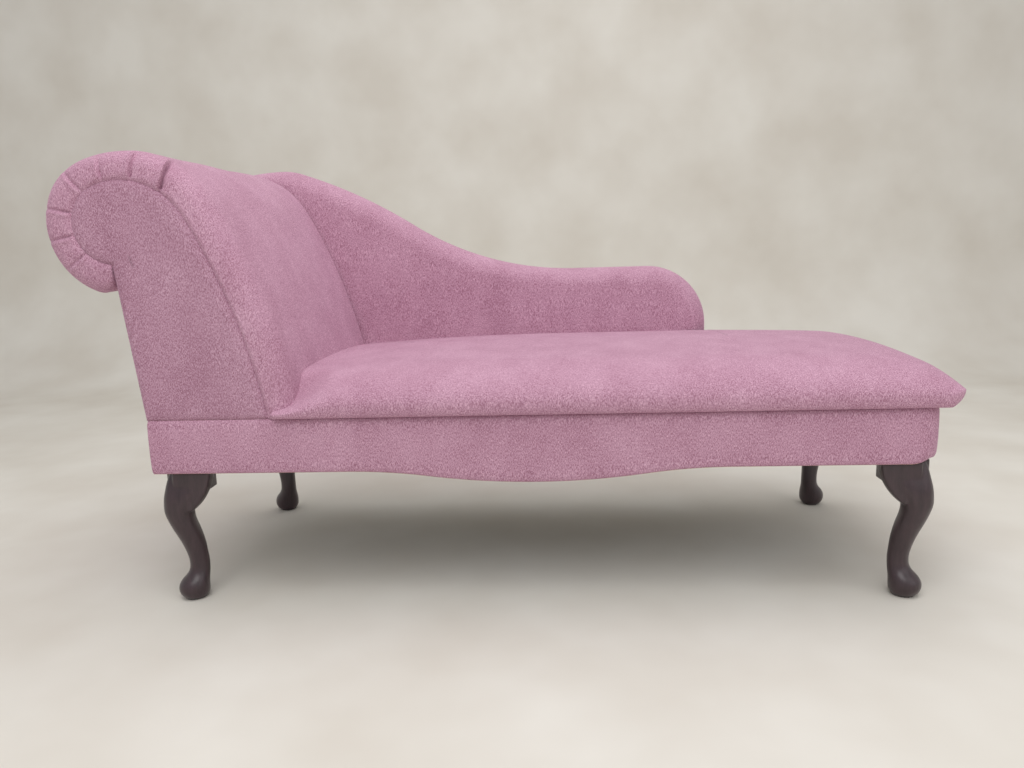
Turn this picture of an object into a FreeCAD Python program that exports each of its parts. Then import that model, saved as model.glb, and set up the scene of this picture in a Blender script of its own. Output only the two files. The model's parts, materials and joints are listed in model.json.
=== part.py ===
import FreeCAD, Part
import math
import os
import re
from FreeCAD import Placement, Rotation, Vector

# Fainting couch: a scrolled head end on the left, a low back that sweeps down along the rear,
# a domed seat and a box base on four cabriole legs.
# Frame: X along the couch towards its foot end, Y from front to rear, Z up from the floor.
# Most outlines are measured from the head end of the base, at the top edge of its rails.

doc = FreeCAD.newDocument("FaintingCouch")
sheet = doc.addObject("Spreadsheet::Sheet", "Sheet")

SIZES = [
    ("BaseLength", 1404, "base box, over its covers"),
    ("BaseWidth", 600, "base box, over its covers"),
    ("LegHeight", 254, "floor to the underside of the rails"),
    ("RailDepth", 100, "height of the base rails"),
    ("PlyThickness", 18, "rails and scroll panels"),
    ("CoverThickness", 3, "fabric over its wadding"),
    ("LiningThickness", 3, "bent board under the head padding"),
    ("Clearance", 0.3, "gap beside every soft piece"),
    ("ApronDrop", 23, "dip of the front rail's lower edge"),
    ("ApronHalf", 340, "half length of that dip"),
    ("ApronRadius", 1450, "curve in the middle of the dip"),
    ("FootCornerRadius", 42, "rounded corners at the foot end, in plan"),
    ("CornerLift", 24, "rounded underside of those corners, square to their diagonal"),
    ("FootPostSize", 86, "inner face of a foot corner post to the outer face of the cover"),
    ("CornerBlockSize", 65, "glue blocks in the head corners"),
    ("CornerBlockHeight", 30, "height of those blocks"),
    ("CrossRailStart", 206, "first cross rail, from the head end"),
    ("PostWidth", 45, "posts that tie the head and back to the base"),
    ("PostThickness", 22, "same posts, front to rear"),
    ("PostHeight", 240, "same posts, up and down"),
    ("PostLift", 32, "underside of the rails to the foot of a post"),
    ("OuterPostInset", 30, "head end to the first pair of posts"),
    ("InnerPostInset", 130, "head end to the second pair of posts"),
    ("BoltDiameter", 8, "bolts through rails and posts"),
    ("BoltClearance", 0.3, "hole round a bolt, each side"),
    ("BoltHeadSize", 13, "across the flats"),
    ("BoltHeadHeight", 5.5, "hexagon head"),
    ("BoltLift", 62, "underside of the rails to the bolt of a post"),
    ("LegBoltReach", 30, "hanger bolt above and below the leg's top"),
    ("HeadDepth", 224, "front scroll panel at the rails"),
    ("ScrollLean", 9.1, "lean of the head at the rails, degrees"),
    ("BackRadius", 1140, "long inside curve of the head"),
    ("BackSweep", 19, "turn of that curve, degrees"),
    ("ShoulderRadius", 126, "start of the roll"),
    ("ShoulderSweep", 81, "turn of the shoulder, degrees"),
    ("NoseRadius", 70, "tight end of the roll"),
    ("PadEdge", 46, "padding round the roll"),
    ("PadLip", 13, "padding where it meets the facing"),
    ("PadRound", 50, "rounded front edge of the padding"),
    ("PadSwell", 20, "extra padding low on the inside, at the rear"),
    ("StretcherWidth", 45, "timber between the scroll panels"),
    ("StretcherThickness", 20, "same timber"),
    ("BackThickness", 93, "low back, front to rear"),
    ("BackRound", 44, "rounded top of the low back"),
    ("BoardInset", 46, "padding over the edge of the back board"),
    ("FoamDepth", 44, "padding in front of the back's lining"),
    ("CrownSlope", 19, "slope where the back leaves the roll, degrees"),
    ("CrownRadius", 500, "back's highest stretch"),
    ("HipRadius", 133, "turn from the crown into the sweep"),
    ("HipSweep", 18.4, "same, degrees"),
    ("SweepRadius", 1151, "upper half of the sweep"),
    ("SweepTurn", 14.6, "same, degrees"),
    ("ValleyRadius", 701.5, "lower half of the sweep"),
    ("RidgeLength", 170, "level stretch near the foot"),
    ("EndRadius", 138.5, "rounded end of the back"),
    ("SeatCrown", 99, "middle of the seat above the rails"),
    ("SeatLip", 8, "seat's lower edge beyond the rails"),
    ("SeatBulge", 9, "belly of the front and rear edges beyond that"),
    ("FootBulge", 18, "belly of the foot edge beyond its lower edge"),
    ("SeatCorner", 52, "corner radius of the seat, in plan"),
    ("SeatStart", 164, "head end of the base to where the seat's form starts, inside the head"),
    ("HemThickness", 1.5, "cover turned under the seat frame"),
    ("HemWidth", 40, "same"),
    ("BattenThickness", 18, "seat frame"),
    ("BattenWidth", 60, "seat frame"),
    ("SeatFrameInset", 14, "seat frame behind the covers"),
    ("SeatFrameGap", 6, "seat frame to the soft edges beside it"),
    ("WebbingWidth", 50, "elastic webbing"),
    ("WebbingThickness", 2, "elastic webbing"),
    ("WebbingPitch", 88, "from one strip to the next"),
    ("DustCoverThickness", 1, "cloth under the base"),
    ("LegTopInset", 20, "leg's outer faces from the covers, at the top"),
    ("LegTopSize", 50, "square of the curved part at the top"),
    ("LegBlockSize", 62, "square block behind the knee"),
    ("LegBlockHeight", 44, "same"),
    ("EarRadius", 107, "curved lower edge of the brackets beside the knee"),
    ("EarCentreInset", 5, "centre of that curve, outside the covers"),
    ("EarCentreLift", 9, "centre of that curve, above the leg's top"),
    ("EarThickness", 25, "brackets beside the knee"),
    ("EarInset", 11, "brackets behind the covers' faces"),
    ("KneeHeight", 204, "height of the knee"),
    ("KneeInset", 4, "knee from the covers"),
    ("KneeSize", 57, "square of the knee"),
    ("HollowHeight", 176, "back of the knee"),
    ("HollowSize", 46, "same"),
    ("CalfHeight", 138, "height of the calf"),
    ("CalfInset", 13, "same"),
    ("CalfSize", 48, "same"),
    ("AnkleHeight", 72, "height of the ankle"),
    ("AnkleInset", 31, "same"),
    ("AnkleSize", 36, "same"),
    ("FootHeight", 24, "widest level of the pad foot"),
    ("FootInset", 11, "same"),
    ("FootSize", 57, "same"),
    ("SoleInset", 21, "flat under the foot"),
    ("SoleSize", 36, "same"),
]
for row, (alias, value, note) in enumerate(SIZES, 1):
    sheet.set(f"A{row}", note)
    sheet.set(f"B{row}", str(value))
    sheet.setAlias(f"B{row}", alias)
doc.recompute()


def bound(text):
    """Names of sheet cells in a formula become references to the sheet."""
    return re.sub(r"\b([A-Z][A-Za-z]+)\b", r"Sheet.\1", text)


def size(text):
    """Value of a formula now."""
    return float(sheet.evalExpression(bound(text)))


def bind(target, **formulas):
    for name, text in formulas.items():
        target.setExpression(name, bound(text))


def place(target, x="0", y="0", z="0"):
    for axis, text in (("x", x), ("y", y), ("z", z)):
        target.setExpression(f"Placement.Base.{axis}", bound(text))


# Centres of the three arcs of the scroll, from the head end of the rails' top edge.
LEAN = "ScrollLean"
BACK_END = "(ScrollLean + BackSweep)"
SHOULDER_END = "(ScrollLean + BackSweep + ShoulderSweep)"
BACK_X = f"(HeadDepth - BackRadius * cos({LEAN}))"
BACK_Z = f"(0 - BackRadius * sin({LEAN}))"
SHOULDER_X = f"({BACK_X} + (BackRadius - ShoulderRadius) * cos({BACK_END}))"
SHOULDER_Z = f"({BACK_Z} + (BackRadius - ShoulderRadius) * sin({BACK_END}))"
NOSE_X = f"({SHOULDER_X} + (ShoulderRadius - NoseRadius) * cos({SHOULDER_END}))"
NOSE_Z = f"({SHOULDER_Z} + (ShoulderRadius - NoseRadius) * sin({SHOULDER_END}))"
# The roll ends on the line from the base's head corner through the nose's centre.
NOSE_END = f"(270 - atan({NOSE_X} / {NOSE_Z}) / (1 deg))"

# Centres of the arcs along the top of the back.
CROWN_START = "(90 + CrownSlope)"
CROWN_X = f"({NOSE_X} - (CrownRadius - NoseRadius - PadEdge) * cos({CROWN_START}))"
CROWN_Z = f"({NOSE_Z} - (CrownRadius - NoseRadius - PadEdge) * sin({CROWN_START}))"
HIP_Z = f"({CROWN_Z} + CrownRadius - HipRadius)"
HIP_END = "(90 - HipSweep)"
SWEEP_X = f"({CROWN_X} - (SweepRadius - HipRadius) * cos({HIP_END}))"
SWEEP_Z = f"({HIP_Z} - (SweepRadius - HipRadius) * sin({HIP_END}))"
SWEEP_END = "(90 - HipSweep - SweepTurn)"
VALLEY_X = f"({SWEEP_X} + (SweepRadius + ValleyRadius) * cos({SWEEP_END}))"
VALLEY_Z = f"({SWEEP_Z} + (SweepRadius + ValleyRadius) * sin({SWEEP_END}))"
END_X = f"({VALLEY_X} + RidgeLength)"
END_Z = f"({VALLEY_Z} - ValleyRadius - EndRadius)"
BACK_LENGTH = f"({END_X} + EndRadius)"

RAIL_TOP = "(LegHeight + RailDepth)"
SCROLL_REACH = f"({NOSE_X} - NoseRadius - PadEdge)"
FOOT_REACH = "(BaseLength + SeatLip + FootBulge)"
HEAD_END = f"(0 - ({SCROLL_REACH} + {FOOT_REACH}) / 2)"
FRONT = "(0 - BaseWidth / 2)"
REAR = "(BaseWidth / 2)"
BACK_FACE = f"({REAR} - BackThickness)"
LINING_FACE = f"({BACK_FACE} + CoverThickness + FoamDepth)"
FRAME_FRONT = f"({FRONT} + CoverThickness)"
FRAME_REAR = f"({REAR} - CoverThickness)"
FOOT_POST = "(BaseLength - FootPostSize)"
SEAT_FRAME_START = f"(HeadDepth + PadEdge + PadSwell + CoverThickness + SeatFrameGap)"
BATTEN_TOP = "(HemThickness + BattenThickness)"

parts = []


def keep(piece, label):
    piece.Label = label
    parts.append(piece)
    return piece


# Sketches

def plane_of(body, role):
    return next(f for f in body.Origin.OriginFeatures if f.Role == role)


def new_sketch(body, name, role="XZ_Plane", offset="0"):
    sketch = body.newObject("Sketcher::SketchObject", name)
    sketch.AttachmentSupport = [(plane_of(body, role), "")]
    sketch.MapMode = "FlatFace"
    if offset != "0":
        sketch.setExpression("AttachmentOffset.Base.z", bound(offset))
    return sketch


def pin(sketch, geometry, point, x=None, y=None):
    """Holds a point of a sketch at formulas for its two coordinates."""
    from Sketcher import Constraint
    for kind, text in (("DistanceX", x), ("DistanceY", y)):
        if text is not None:
            index = sketch.addConstraint(
                Constraint(kind, -1, 1, geometry, point, size(text)))
            sketch.setExpression(f"Constraints[{index}]", bound(text))


def draw(sketch, start, steps):
    """Closed outline of lines (x, z) and arcs (centre x, centre z, radius, end angle, turn)."""
    from Sketcher import Constraint
    here = Vector(size(start[0]), size(start[1]), 0)
    first = None
    for number, step in enumerate(steps):
        last = number == len(steps) - 1
        if len(step) == 2:
            there = Vector(size(step[0]), size(step[1]), 0)
            index = sketch.addGeometry(Part.LineSegment(here, there))
            head, tail = 1, 2
        else:
            cx, cz, radius, end, turn = step
            centre = Vector(size(cx), size(cz), 0)
            angle = math.radians(size(end))
            there = centre + Vector(math.cos(angle), math.sin(angle), 0) * size(radius)
            begin = math.atan2(here.y - centre.y, here.x - centre.x)
            low, high = (begin, angle) if turn > 0 else (angle, begin)
            circle = Part.Circle(centre, Vector(0, 0, 1), size(radius))
            index = sketch.addGeometry(Part.ArcOfCircle(circle, low, high))
            head, tail = (1, 2) if turn > 0 else (2, 1)
            pin(sketch, index, 3, cx, cz)
        if first is None:
            first = (index, head)
            pin(sketch, index, head, *start)
        else:
            sketch.addConstraint(Constraint("Coincident", *previous, index, head))
        if last:
            sketch.addConstraint(Constraint("Coincident", index, tail, *first))
        elif len(step) == 2:
            pin(sketch, index, tail, *step)
        elif abs(math.sin(angle)) > 0.7:
            pin(sketch, index, tail, x=f"{cx} + ({radius}) * cos({end})")
        else:
            pin(sketch, index, tail, y=f"{cz} + ({radius}) * sin({end})")
        previous = (index, tail)
        here = there


def extrude(body, sketch, name, length, reverse=False):
    pad = body.newObject("PartDesign::Pad", name)
    pad.Profile = sketch
    bind(pad, Length=length)
    pad.Reversed = reverse
    return pad


def drill(body, name, spots, diameter, role="XZ_Plane"):
    """Round holes right through, at (x, z) from the body's origin."""
    from Sketcher import Constraint
    sketch = new_sketch(body, name + "Sketch", role)
    for x, z in spots:
        circle = Part.Circle(Vector(size(x), size(z), 0), Vector(0, 0, 1), size(diameter) / 2)
        index = sketch.addGeometry(circle)
        pin(sketch, index, 3, x, z)
        mark = sketch.addConstraint(Constraint("Diameter", index, size(diameter)))
        sketch.setExpression(f"Constraints[{mark}]", bound(diameter))
    pocket = body.newObject("PartDesign::Pocket", name)
    pocket.Profile = sketch
    pocket.Type = "ThroughAll"
    pocket.Midplane = True


def round_under(body, name, x, y, sign, radius, lift):
    """Rounds the lower edge of an upright corner whose plan arc is centred at x and y."""
    sketch = new_sketch(body, name + "Sketch")
    sketch.AttachmentOffset = Placement(Vector(0, 0, 0), Rotation(Vector(0, 1, 0), 45 * sign))
    sketch.setExpression("AttachmentOffset.Base.x", bound(x))
    sketch.setExpression("AttachmentOffset.Base.z", bound(f"0 - {sign} * ({y})"))
    near, far = f"({radius} - {lift})", f"({radius} + {lift})"
    start = (near, "0")
    steps = [
        (near, lift, lift, "0", 1),
        (far, lift),
        (far, f"0 - {lift}"),
        (near, f"0 - {lift}"),
        start,
    ]
    draw(sketch, start, steps)
    pocket = body.newObject("PartDesign::Pocket", name)
    pocket.Profile = sketch
    pocket.Type = "ThroughAll"
    pocket.Midplane = True


def board(label, start, steps, y, thickness="PlyThickness", z=RAIL_TOP, x=HEAD_END, holes=()):
    """Flat upright piece: an outline in X and Z, thick towards the rear."""
    body = doc.addObject("PartDesign::Body", label)
    sketch = new_sketch(body, label + "Outline")
    draw(sketch, start, steps)
    extrude(body, sketch, label + "Sheet", thickness, reverse=True)
    if holes:
        drill(body, label + "Holes", holes, "BoltDiameter + 2 * BoltClearance")
    place(body, x, y, z)
    return keep(body, label)


def rectangle(left, low, right, high):
    return (left, low), [(right, low), (right, high), (left, high), (left, low)]


def block(label, x, y, z, length, width, height):
    box = doc.addObject("Part::Box", label)
    bind(box, Length=length, Width=width, Height=height)
    place(box, x, y, z)
    return box


# Outlines shared by the wood, the covers and the padding

def scroll_start(grow):
    """Where the inside curve of the head, grown outwards, meets the rails' top."""
    return f"({BACK_X} + sqrt(pow(BackRadius + {grow}; 2) - pow({BACK_Z}; 2)))"


def scroll_steps(grow):
    return [
        (BACK_X, BACK_Z, f"BackRadius + {grow}", BACK_END, 1),
        (SHOULDER_X, SHOULDER_Z, f"ShoulderRadius + {grow}", SHOULDER_END, 1),
        (NOSE_X, NOSE_Z, f"NoseRadius + {grow}", NOSE_END, 1),
    ]


def nose_point(reach, inward="0"):
    """A point below the nose, at a distance from its centre and in from the outer line."""
    return (f"({NOSE_X} + ({reach}) * cos({NOSE_END}) - ({inward}) * sin({NOSE_END}))",
            f"({NOSE_Z} + ({reach}) * sin({NOSE_END}) + ({inward}) * cos({NOSE_END}))")


def base_point(inward):
    """Foot of the outer line, moved in square to it."""
    return f"(0 - ({inward}) / sin({NOSE_END}))", "0"


def head_outline(grow, inset):
    """Scroll panel: its curves grown by one size and its outer line moved in by another."""
    start = (scroll_start(grow), "0")
    steps = scroll_steps(grow)
    if inset != "0":
        steps.append(nose_point(f"NoseRadius + {grow}", inset))
    return start, steps + [base_point(inset), start]


def back_outline(inset, outer):
    """Low back, seen from the front, with its padded edge moved in."""
    steps = [
        (END_X, END_Z),
        (END_X, END_Z, f"EndRadius - {inset}", "90", 1),
        (VALLEY_X, f"{VALLEY_Z} - ValleyRadius - {inset}"),
        (VALLEY_X, VALLEY_Z, f"ValleyRadius + {inset}", f"180 + {SWEEP_END}", -1),
        (SWEEP_X, SWEEP_Z, f"SweepRadius - {inset}", HIP_END, 1),
        (CROWN_X, HIP_Z, f"HipRadius - {inset}", "90", 1),
        (CROWN_X, CROWN_Z, f"CrownRadius - {inset}", CROWN_START, 1),
        (NOSE_X, NOSE_Z, f"NoseRadius + PadEdge - {inset}", NOSE_END, 1),
    ]
    steps[0] = (f"{END_X} + EndRadius - {inset}", END_Z)
    start = (f"{END_X} + EndRadius - {inset}", "0")
    if outer != "0":
        steps.append(nose_point(f"NoseRadius + PadEdge - {inset}", outer))
    return start, steps + [base_point(outer), start]


# Base

def apron_steps(end):
    """Lower edge of the front rail, from the head end to a place near the foot."""
    middle = "(BaseLength / 2)"
    turn = "(2 * atan(ApronDrop / ApronHalf) / (1 deg))"
    side = f"(ApronHalf / sin({turn}) - ApronRadius)"
    return [
        (f"{middle} - ApronHalf", "0"),
        (f"{middle} - ApronHalf", f"0 - {side}", side, f"90 - {turn}", -1),
        (middle, "ApronRadius - ApronDrop", "ApronRadius", f"270 + {turn}", 1),
        (f"{middle} + ApronHalf", f"0 - {side}", side, "90", -1),
        (end, "0"),
        (end, "RailDepth"),
    ]


# The back's last two posts stand beside the second and third cross rails.
END_POST = f"({BACK_LENGTH} - BoardInset - 2 * PostWidth)"
MIDDLE_POST = f"((InnerPostInset + {END_POST}) / 2)"
FRONT_POSTS = ["OuterPostInset", "InnerPostInset"]
REAR_POSTS = FRONT_POSTS + [MIDDLE_POST, END_POST]
CROSS_RAILS = ["CrossRailStart"] + [f"({spot} - PlyThickness)" for spot in REAR_POSTS[2:]]


def post_bolts(spots):
    """Bolt through each post, as (x, z) on the rail."""
    return [(f"{spot} + PostWidth / 2", "BoltLift") for spot in spots]


def base_frame():
    start = ("CoverThickness", "0")
    board("front_rail", start, apron_steps(FOOT_POST) + [("CoverThickness", "RailDepth"), start],
          FRAME_FRONT, z="LegHeight", holes=post_bolts(FRONT_POSTS))
    board("rear_rail", *rectangle("CoverThickness", "0", FOOT_POST, "RailDepth"),
          f"{FRAME_REAR} - PlyThickness", z="LegHeight", holes=post_bolts(REAR_POSTS))
    inside = "(BaseWidth - 2 * CoverThickness - 2 * PlyThickness)"
    inner_front = f"({FRAME_FRONT} + PlyThickness)"
    spots = [("head_rail", "CoverThickness")]
    spots += [(f"cross_rail_{n + 1}", spot) for n, spot in enumerate(CROSS_RAILS)]
    for label, spot in spots:
        keep(block(label, f"{HEAD_END} + {spot}", inner_front, "LegHeight",
                   "PlyThickness", inside, "RailDepth"), label)
    keep(block("foot_rail", f"{HEAD_END} + BaseLength - CoverThickness - PlyThickness",
               f"{FRONT} + FootPostSize", "LegHeight",
               "PlyThickness", "BaseWidth - 2 * FootPostSize", "RailDepth"), "foot_rail")
    for side, sign in (("front", -1), ("rear", 1)):
        head_block(side, sign)
        foot_post(side, sign)


BOLT_INSET = "(LegTopInset + LegTopSize / 2 + LegBlockSize / 8)"


def leg_bolt_hole(name, x, y):
    hole = doc.addObject("Part::Cylinder", name)
    bind(hole, Radius="BoltDiameter / 2 + BoltClearance", Height="LegBoltReach + 2")
    place(hole, x, y, "LegHeight - 1")
    return hole


def head_block(side, sign):
    """Glue block in a head corner, which takes the leg's bolt."""
    label = f"head_corner_block_{side}"
    edge = "(CoverThickness + PlyThickness)"
    low = f"{FRONT} + {edge}" if sign < 0 else f"{REAR} - {edge} - CornerBlockSize"
    solid = block(label + "_solid", f"{HEAD_END} + {edge}", low, "LegHeight",
                  "CornerBlockSize", "CornerBlockSize", "CornerBlockHeight")
    hole = leg_bolt_hole(label + "_hole", f"{HEAD_END} + {BOLT_INSET}",
                         f"{sign} * (BaseWidth / 2 - {BOLT_INSET})")
    cut = doc.addObject("Part::Cut", label)
    cut.Base = solid
    cut.Tool = hole
    keep(cut, label)


def foot_post(side, sign):
    """Corner post of the foot end, rounded in plan, which takes the leg's bolt."""
    label = f"foot_corner_post_{side}"
    depth = "(FootPostSize - CoverThickness)"
    radius = "(FootCornerRadius - CoverThickness)"
    body = doc.addObject("PartDesign::Body", label + "_solid")
    sketch = new_sketch(body, label + "Plan", "XY_Plane")
    far = f"{sign} * {depth}"
    near = f"{sign} * ({depth} - {radius})"
    steps = [
        (depth, "0"),
        (depth, near),
        (f"{depth} - {radius}", near, radius, f"{sign} * 90", sign),
        ("0", far),
        ("0", "0"),
    ]
    draw(sketch, ("0", "0"), steps)
    extrude(body, sketch, label + "Height", "RailDepth")
    centre = f"({depth} - {radius})"
    round_under(body, label + "Round", centre, centre, sign, radius, "(CornerLift - CoverThickness)")
    place(body, f"{HEAD_END} + {FOOT_POST}", f"{sign} * (BaseWidth / 2 - FootPostSize)", "LegHeight")
    hole = leg_bolt_hole(label + "_hole", f"{HEAD_END} + BaseLength - {BOLT_INSET}",
                         f"{sign} * (BaseWidth / 2 - {BOLT_INSET})")
    cut = doc.addObject("Part::Cut", label)
    cut.Base = body
    cut.Tool = hole
    keep(cut, label)


def base_covers():
    start = ("0", "0")
    end = "(BaseLength - FootCornerRadius)"
    board("front_rail_cover", start, apron_steps(end) + [("0", "RailDepth"), start],
          FRONT, "CoverThickness", "LegHeight")
    board("rear_rail_cover", *rectangle("0", "0", end, "RailDepth"),
          FRAME_REAR, "CoverThickness", "LegHeight")
    keep(block("head_rail_cover", HEAD_END, FRAME_FRONT, "LegHeight",
               "CoverThickness", "BaseWidth - 2 * CoverThickness", "RailDepth"), "head_rail_cover")
    foot_cover()
    dust_cover()


def foot_cover():
    """One strip round the foot end and its two rounded corners."""
    label = "foot_rail_cover"
    radius = "FootCornerRadius"
    inner = f"({radius} - CoverThickness)"
    straight = f"(BaseWidth / 2 - {radius})"
    body = doc.addObject("PartDesign::Body", label)
    sketch = new_sketch(body, label + "Plan", "XY_Plane")
    start = ("0", f"0 - BaseWidth / 2")
    steps = [
        ("0", f"0 - {straight}", radius, "0", 1),
        (radius, straight),
        ("0", straight, radius, "90", 1),
        ("0", f"{straight} + {inner}"),
        ("0", straight, inner, "0", -1),
        (inner, f"0 - {straight}"),
        ("0", f"0 - {straight}", inner, "0 - 90", -1),
        start,
    ]
    draw(sketch, start, steps)
    extrude(body, sketch, label + "Height", "RailDepth")
    for side, sign in (("Front", -1), ("Rear", 1)):
        round_under(body, label + side + "Round", "0", straight, sign, radius, "CornerLift")
    place(body, f"{HEAD_END} + BaseLength - {radius}", "0", "LegHeight")
    keep(body, label)


def dust_cover():
    """Thin cloth under the frame, cut away round the legs."""
    label = "dust_cover"
    notch = "(EarRadius - EarCentreInset + 8)"
    hem = "(CoverThickness + 6)"
    front = f"(CoverThickness + PlyThickness + Clearance - BaseWidth / 2)"
    rear = f"({REAR} - {hem})"
    body = doc.addObject("PartDesign::Body", label)
    sketch = new_sketch(body, label + "Plan", "XY_Plane")
    low, high = f"(0 - {REAR} + {notch})", f"({REAR} - {notch})"
    left, right = hem, f"(BaseLength - {hem})"
    start = (notch, front)
    steps = [
        (f"BaseLength - {notch}", front), (f"BaseLength - {notch}", low), (right, low),
        (right, high), (f"BaseLength - {notch}", high), (f"BaseLength - {notch}", rear),
        (notch, rear), (notch, high), (left, high), (left, low), (notch, low), start,
    ]
    draw(sketch, start, steps)
    extrude(body, sketch, label + "Sheet", "DustCoverThickness")
    place(body, HEAD_END, "0", "LegHeight - DustCoverThickness")
    keep(body, label)


# Posts and bolts

def post(label, x, y):
    body = doc.addObject("PartDesign::Body", label)
    sketch = new_sketch(body, label + "Outline")
    draw(sketch, *rectangle("0", "0", "PostWidth", "PostHeight"))
    extrude(body, sketch, label + "Timber", "PostThickness", reverse=True)
    hole = ("PostWidth / 2", "BoltLift - PostLift")
    drill(body, label + "Hole", [hole], "BoltDiameter + 2 * BoltClearance")
    place(body, f"{HEAD_END} + {x}", y, "LegHeight + PostLift")
    keep(body, label)


def bolt(name, x, z, face, sign):
    """Hexagon bolt whose head bears on a post and whose shank ends in the rail."""
    shank_length = "(PostThickness + PlyThickness - 1)"
    turn = Rotation(Vector(1, 0, 0), 90 if sign < 0 else -90)
    head = doc.addObject("Part::Prism", name + "_head")
    head.Polygon = 6
    bind(head, Circumradius="BoltHeadSize / sqrt(3)", Height="BoltHeadHeight")
    shank = doc.addObject("Part::Cylinder", name + "_shank")
    bind(shank, Radius="BoltDiameter / 2", Height=f"BoltHeadHeight + {shank_length}")
    for piece in (head, shank):
        piece.Placement.Rotation = turn
        place(piece, f"{HEAD_END} + {x}", f"{face} - {sign} * BoltHeadHeight", f"LegHeight + {z}")
    fuse = doc.addObject("Part::Fuse", name)
    fuse.Base = head
    fuse.Tool = shank
    return fuse


def group(label, pieces):
    compound = doc.addObject("Part::Compound", label)
    compound.Links = pieces
    keep(compound, label)


def posts_and_bolts():
    front = f"({FRAME_FRONT} + PlyThickness)"
    rear = f"({FRAME_REAR} - PlyThickness - PostThickness)"
    for number, spot in enumerate(FRONT_POSTS, 1):
        post(f"front_post_{number}", spot, front)
    for number, spot in enumerate(REAR_POSTS, 1):
        post(f"rear_post_{number}", spot, rear)
    bolts = []
    for side, spots, face, sign in (("front", FRONT_POSTS, f"({front} + PostThickness)", -1),
                                    ("rear", REAR_POSTS, rear, 1)):
        for number, (x, z) in enumerate(post_bolts(spots)):
            bolts.append(bolt(f"{side}_bolt_{number}", x, z, face, sign))
    group("frame_bolts", bolts)


# Head

def head_frame():
    panel = head_outline("(0 - LiningThickness)", "CoverThickness")
    board("head_front_panel", *panel, FRAME_FRONT)
    board("head_rear_panel", *panel, f"{LINING_FACE} - PlyThickness")
    inner = "(0 - LiningThickness)"
    start = (scroll_start("0"), "0")
    steps = scroll_steps("0") + [
        nose_point("NoseRadius - LiningThickness"),
        (NOSE_X, NOSE_Z, "NoseRadius - LiningThickness", SHOULDER_END, -1),
        (SHOULDER_X, SHOULDER_Z, "ShoulderRadius - LiningThickness", BACK_END, -1),
        (BACK_X, BACK_Z, "BackRadius - LiningThickness",
         f"(asin(BackRadius * sin({LEAN}) / (BackRadius - LiningThickness)) / (1 deg))", -1),
        start,
    ]
    board("head_lining", start, steps, FRAME_FRONT, f"{LINING_FACE} - {FRAME_FRONT}")
    board("head_facing", *head_outline("0", "0"), FRONT, "CoverThickness")
    corner = nose_point("NoseRadius + PadEdge + Clearance")
    inner_corner = nose_point("NoseRadius + PadEdge + Clearance", "CoverThickness")
    start = ("0", "0")
    board("outside_head_cover", start, [base_point("CoverThickness"), inner_corner, corner, start],
          FRAME_FRONT, f"{FRAME_REAR} - {FRAME_FRONT}")
    stretchers()


def stretchers():
    """Timbers that cross between the scroll panels, each tangent to the lining."""
    lean, back_end, shoulder_end = size(LEAN), size(BACK_END), size(SHOULDER_END)
    spots = [
        ("head_seat_stretcher", BACK_X, BACK_Z, "BackRadius", lean + 0.12 * size("BackSweep")),
        ("head_lumbar_stretcher", BACK_X, BACK_Z, "BackRadius", lean + 0.72 * size("BackSweep")),
        ("head_shoulder_stretcher", SHOULDER_X, SHOULDER_Z, "ShoulderRadius",
         back_end + 0.45 * size("ShoulderSweep")),
        ("head_top_stretcher", NOSE_X, NOSE_Z, "NoseRadius", shoulder_end + 36),
        ("head_nose_stretcher", NOSE_X, NOSE_Z, "NoseRadius", shoulder_end + 112),
    ]
    width, thickness = size("StretcherWidth"), size("StretcherThickness")
    front = size(f"{FRAME_FRONT} + PlyThickness")
    for label, cx, cz, radius, angle in spots:
        reach = size(f"{radius} - LiningThickness")
        depth = math.sqrt(reach ** 2 - (width / 2) ** 2)
        box = doc.addObject("Part::Box", label)
        bind(box, Length="StretcherThickness", Width=STRETCHER_LENGTH, Height="StretcherWidth")
        centre = Vector(size(f"{HEAD_END} + {cx}"), front, size(f"{RAIL_TOP} + {cz}"))
        turn = Rotation(Vector(0, 1, 0), -angle)
        corner = turn.multVec(Vector(depth - thickness, 0, -width / 2))
        box.Placement = Placement(centre + corner, turn)
        keep(box, label)
    keep(block("head_outer_stretcher", f"{HEAD_END} + CoverThickness",
               f"{FRAME_FRONT} + PlyThickness", RAIL_TOP,
               "StretcherThickness", STRETCHER_LENGTH, "StretcherWidth"), "head_outer_stretcher")


STRETCHER_LENGTH = f"{LINING_FACE} - {FRAME_FRONT} - 2 * PlyThickness"


# Back

def back_frame():
    board("back_board", *back_outline("BoardInset", "CoverThickness"),
          f"{FRAME_REAR} - PlyThickness")
    board("back_lining", *back_outline("BoardInset", "CoverThickness"),
          LINING_FACE, "LiningThickness")
    board("rear_cover", *back_outline("BoardInset", "0"), FRAME_REAR, "CoverThickness")


# Seat frame

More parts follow.
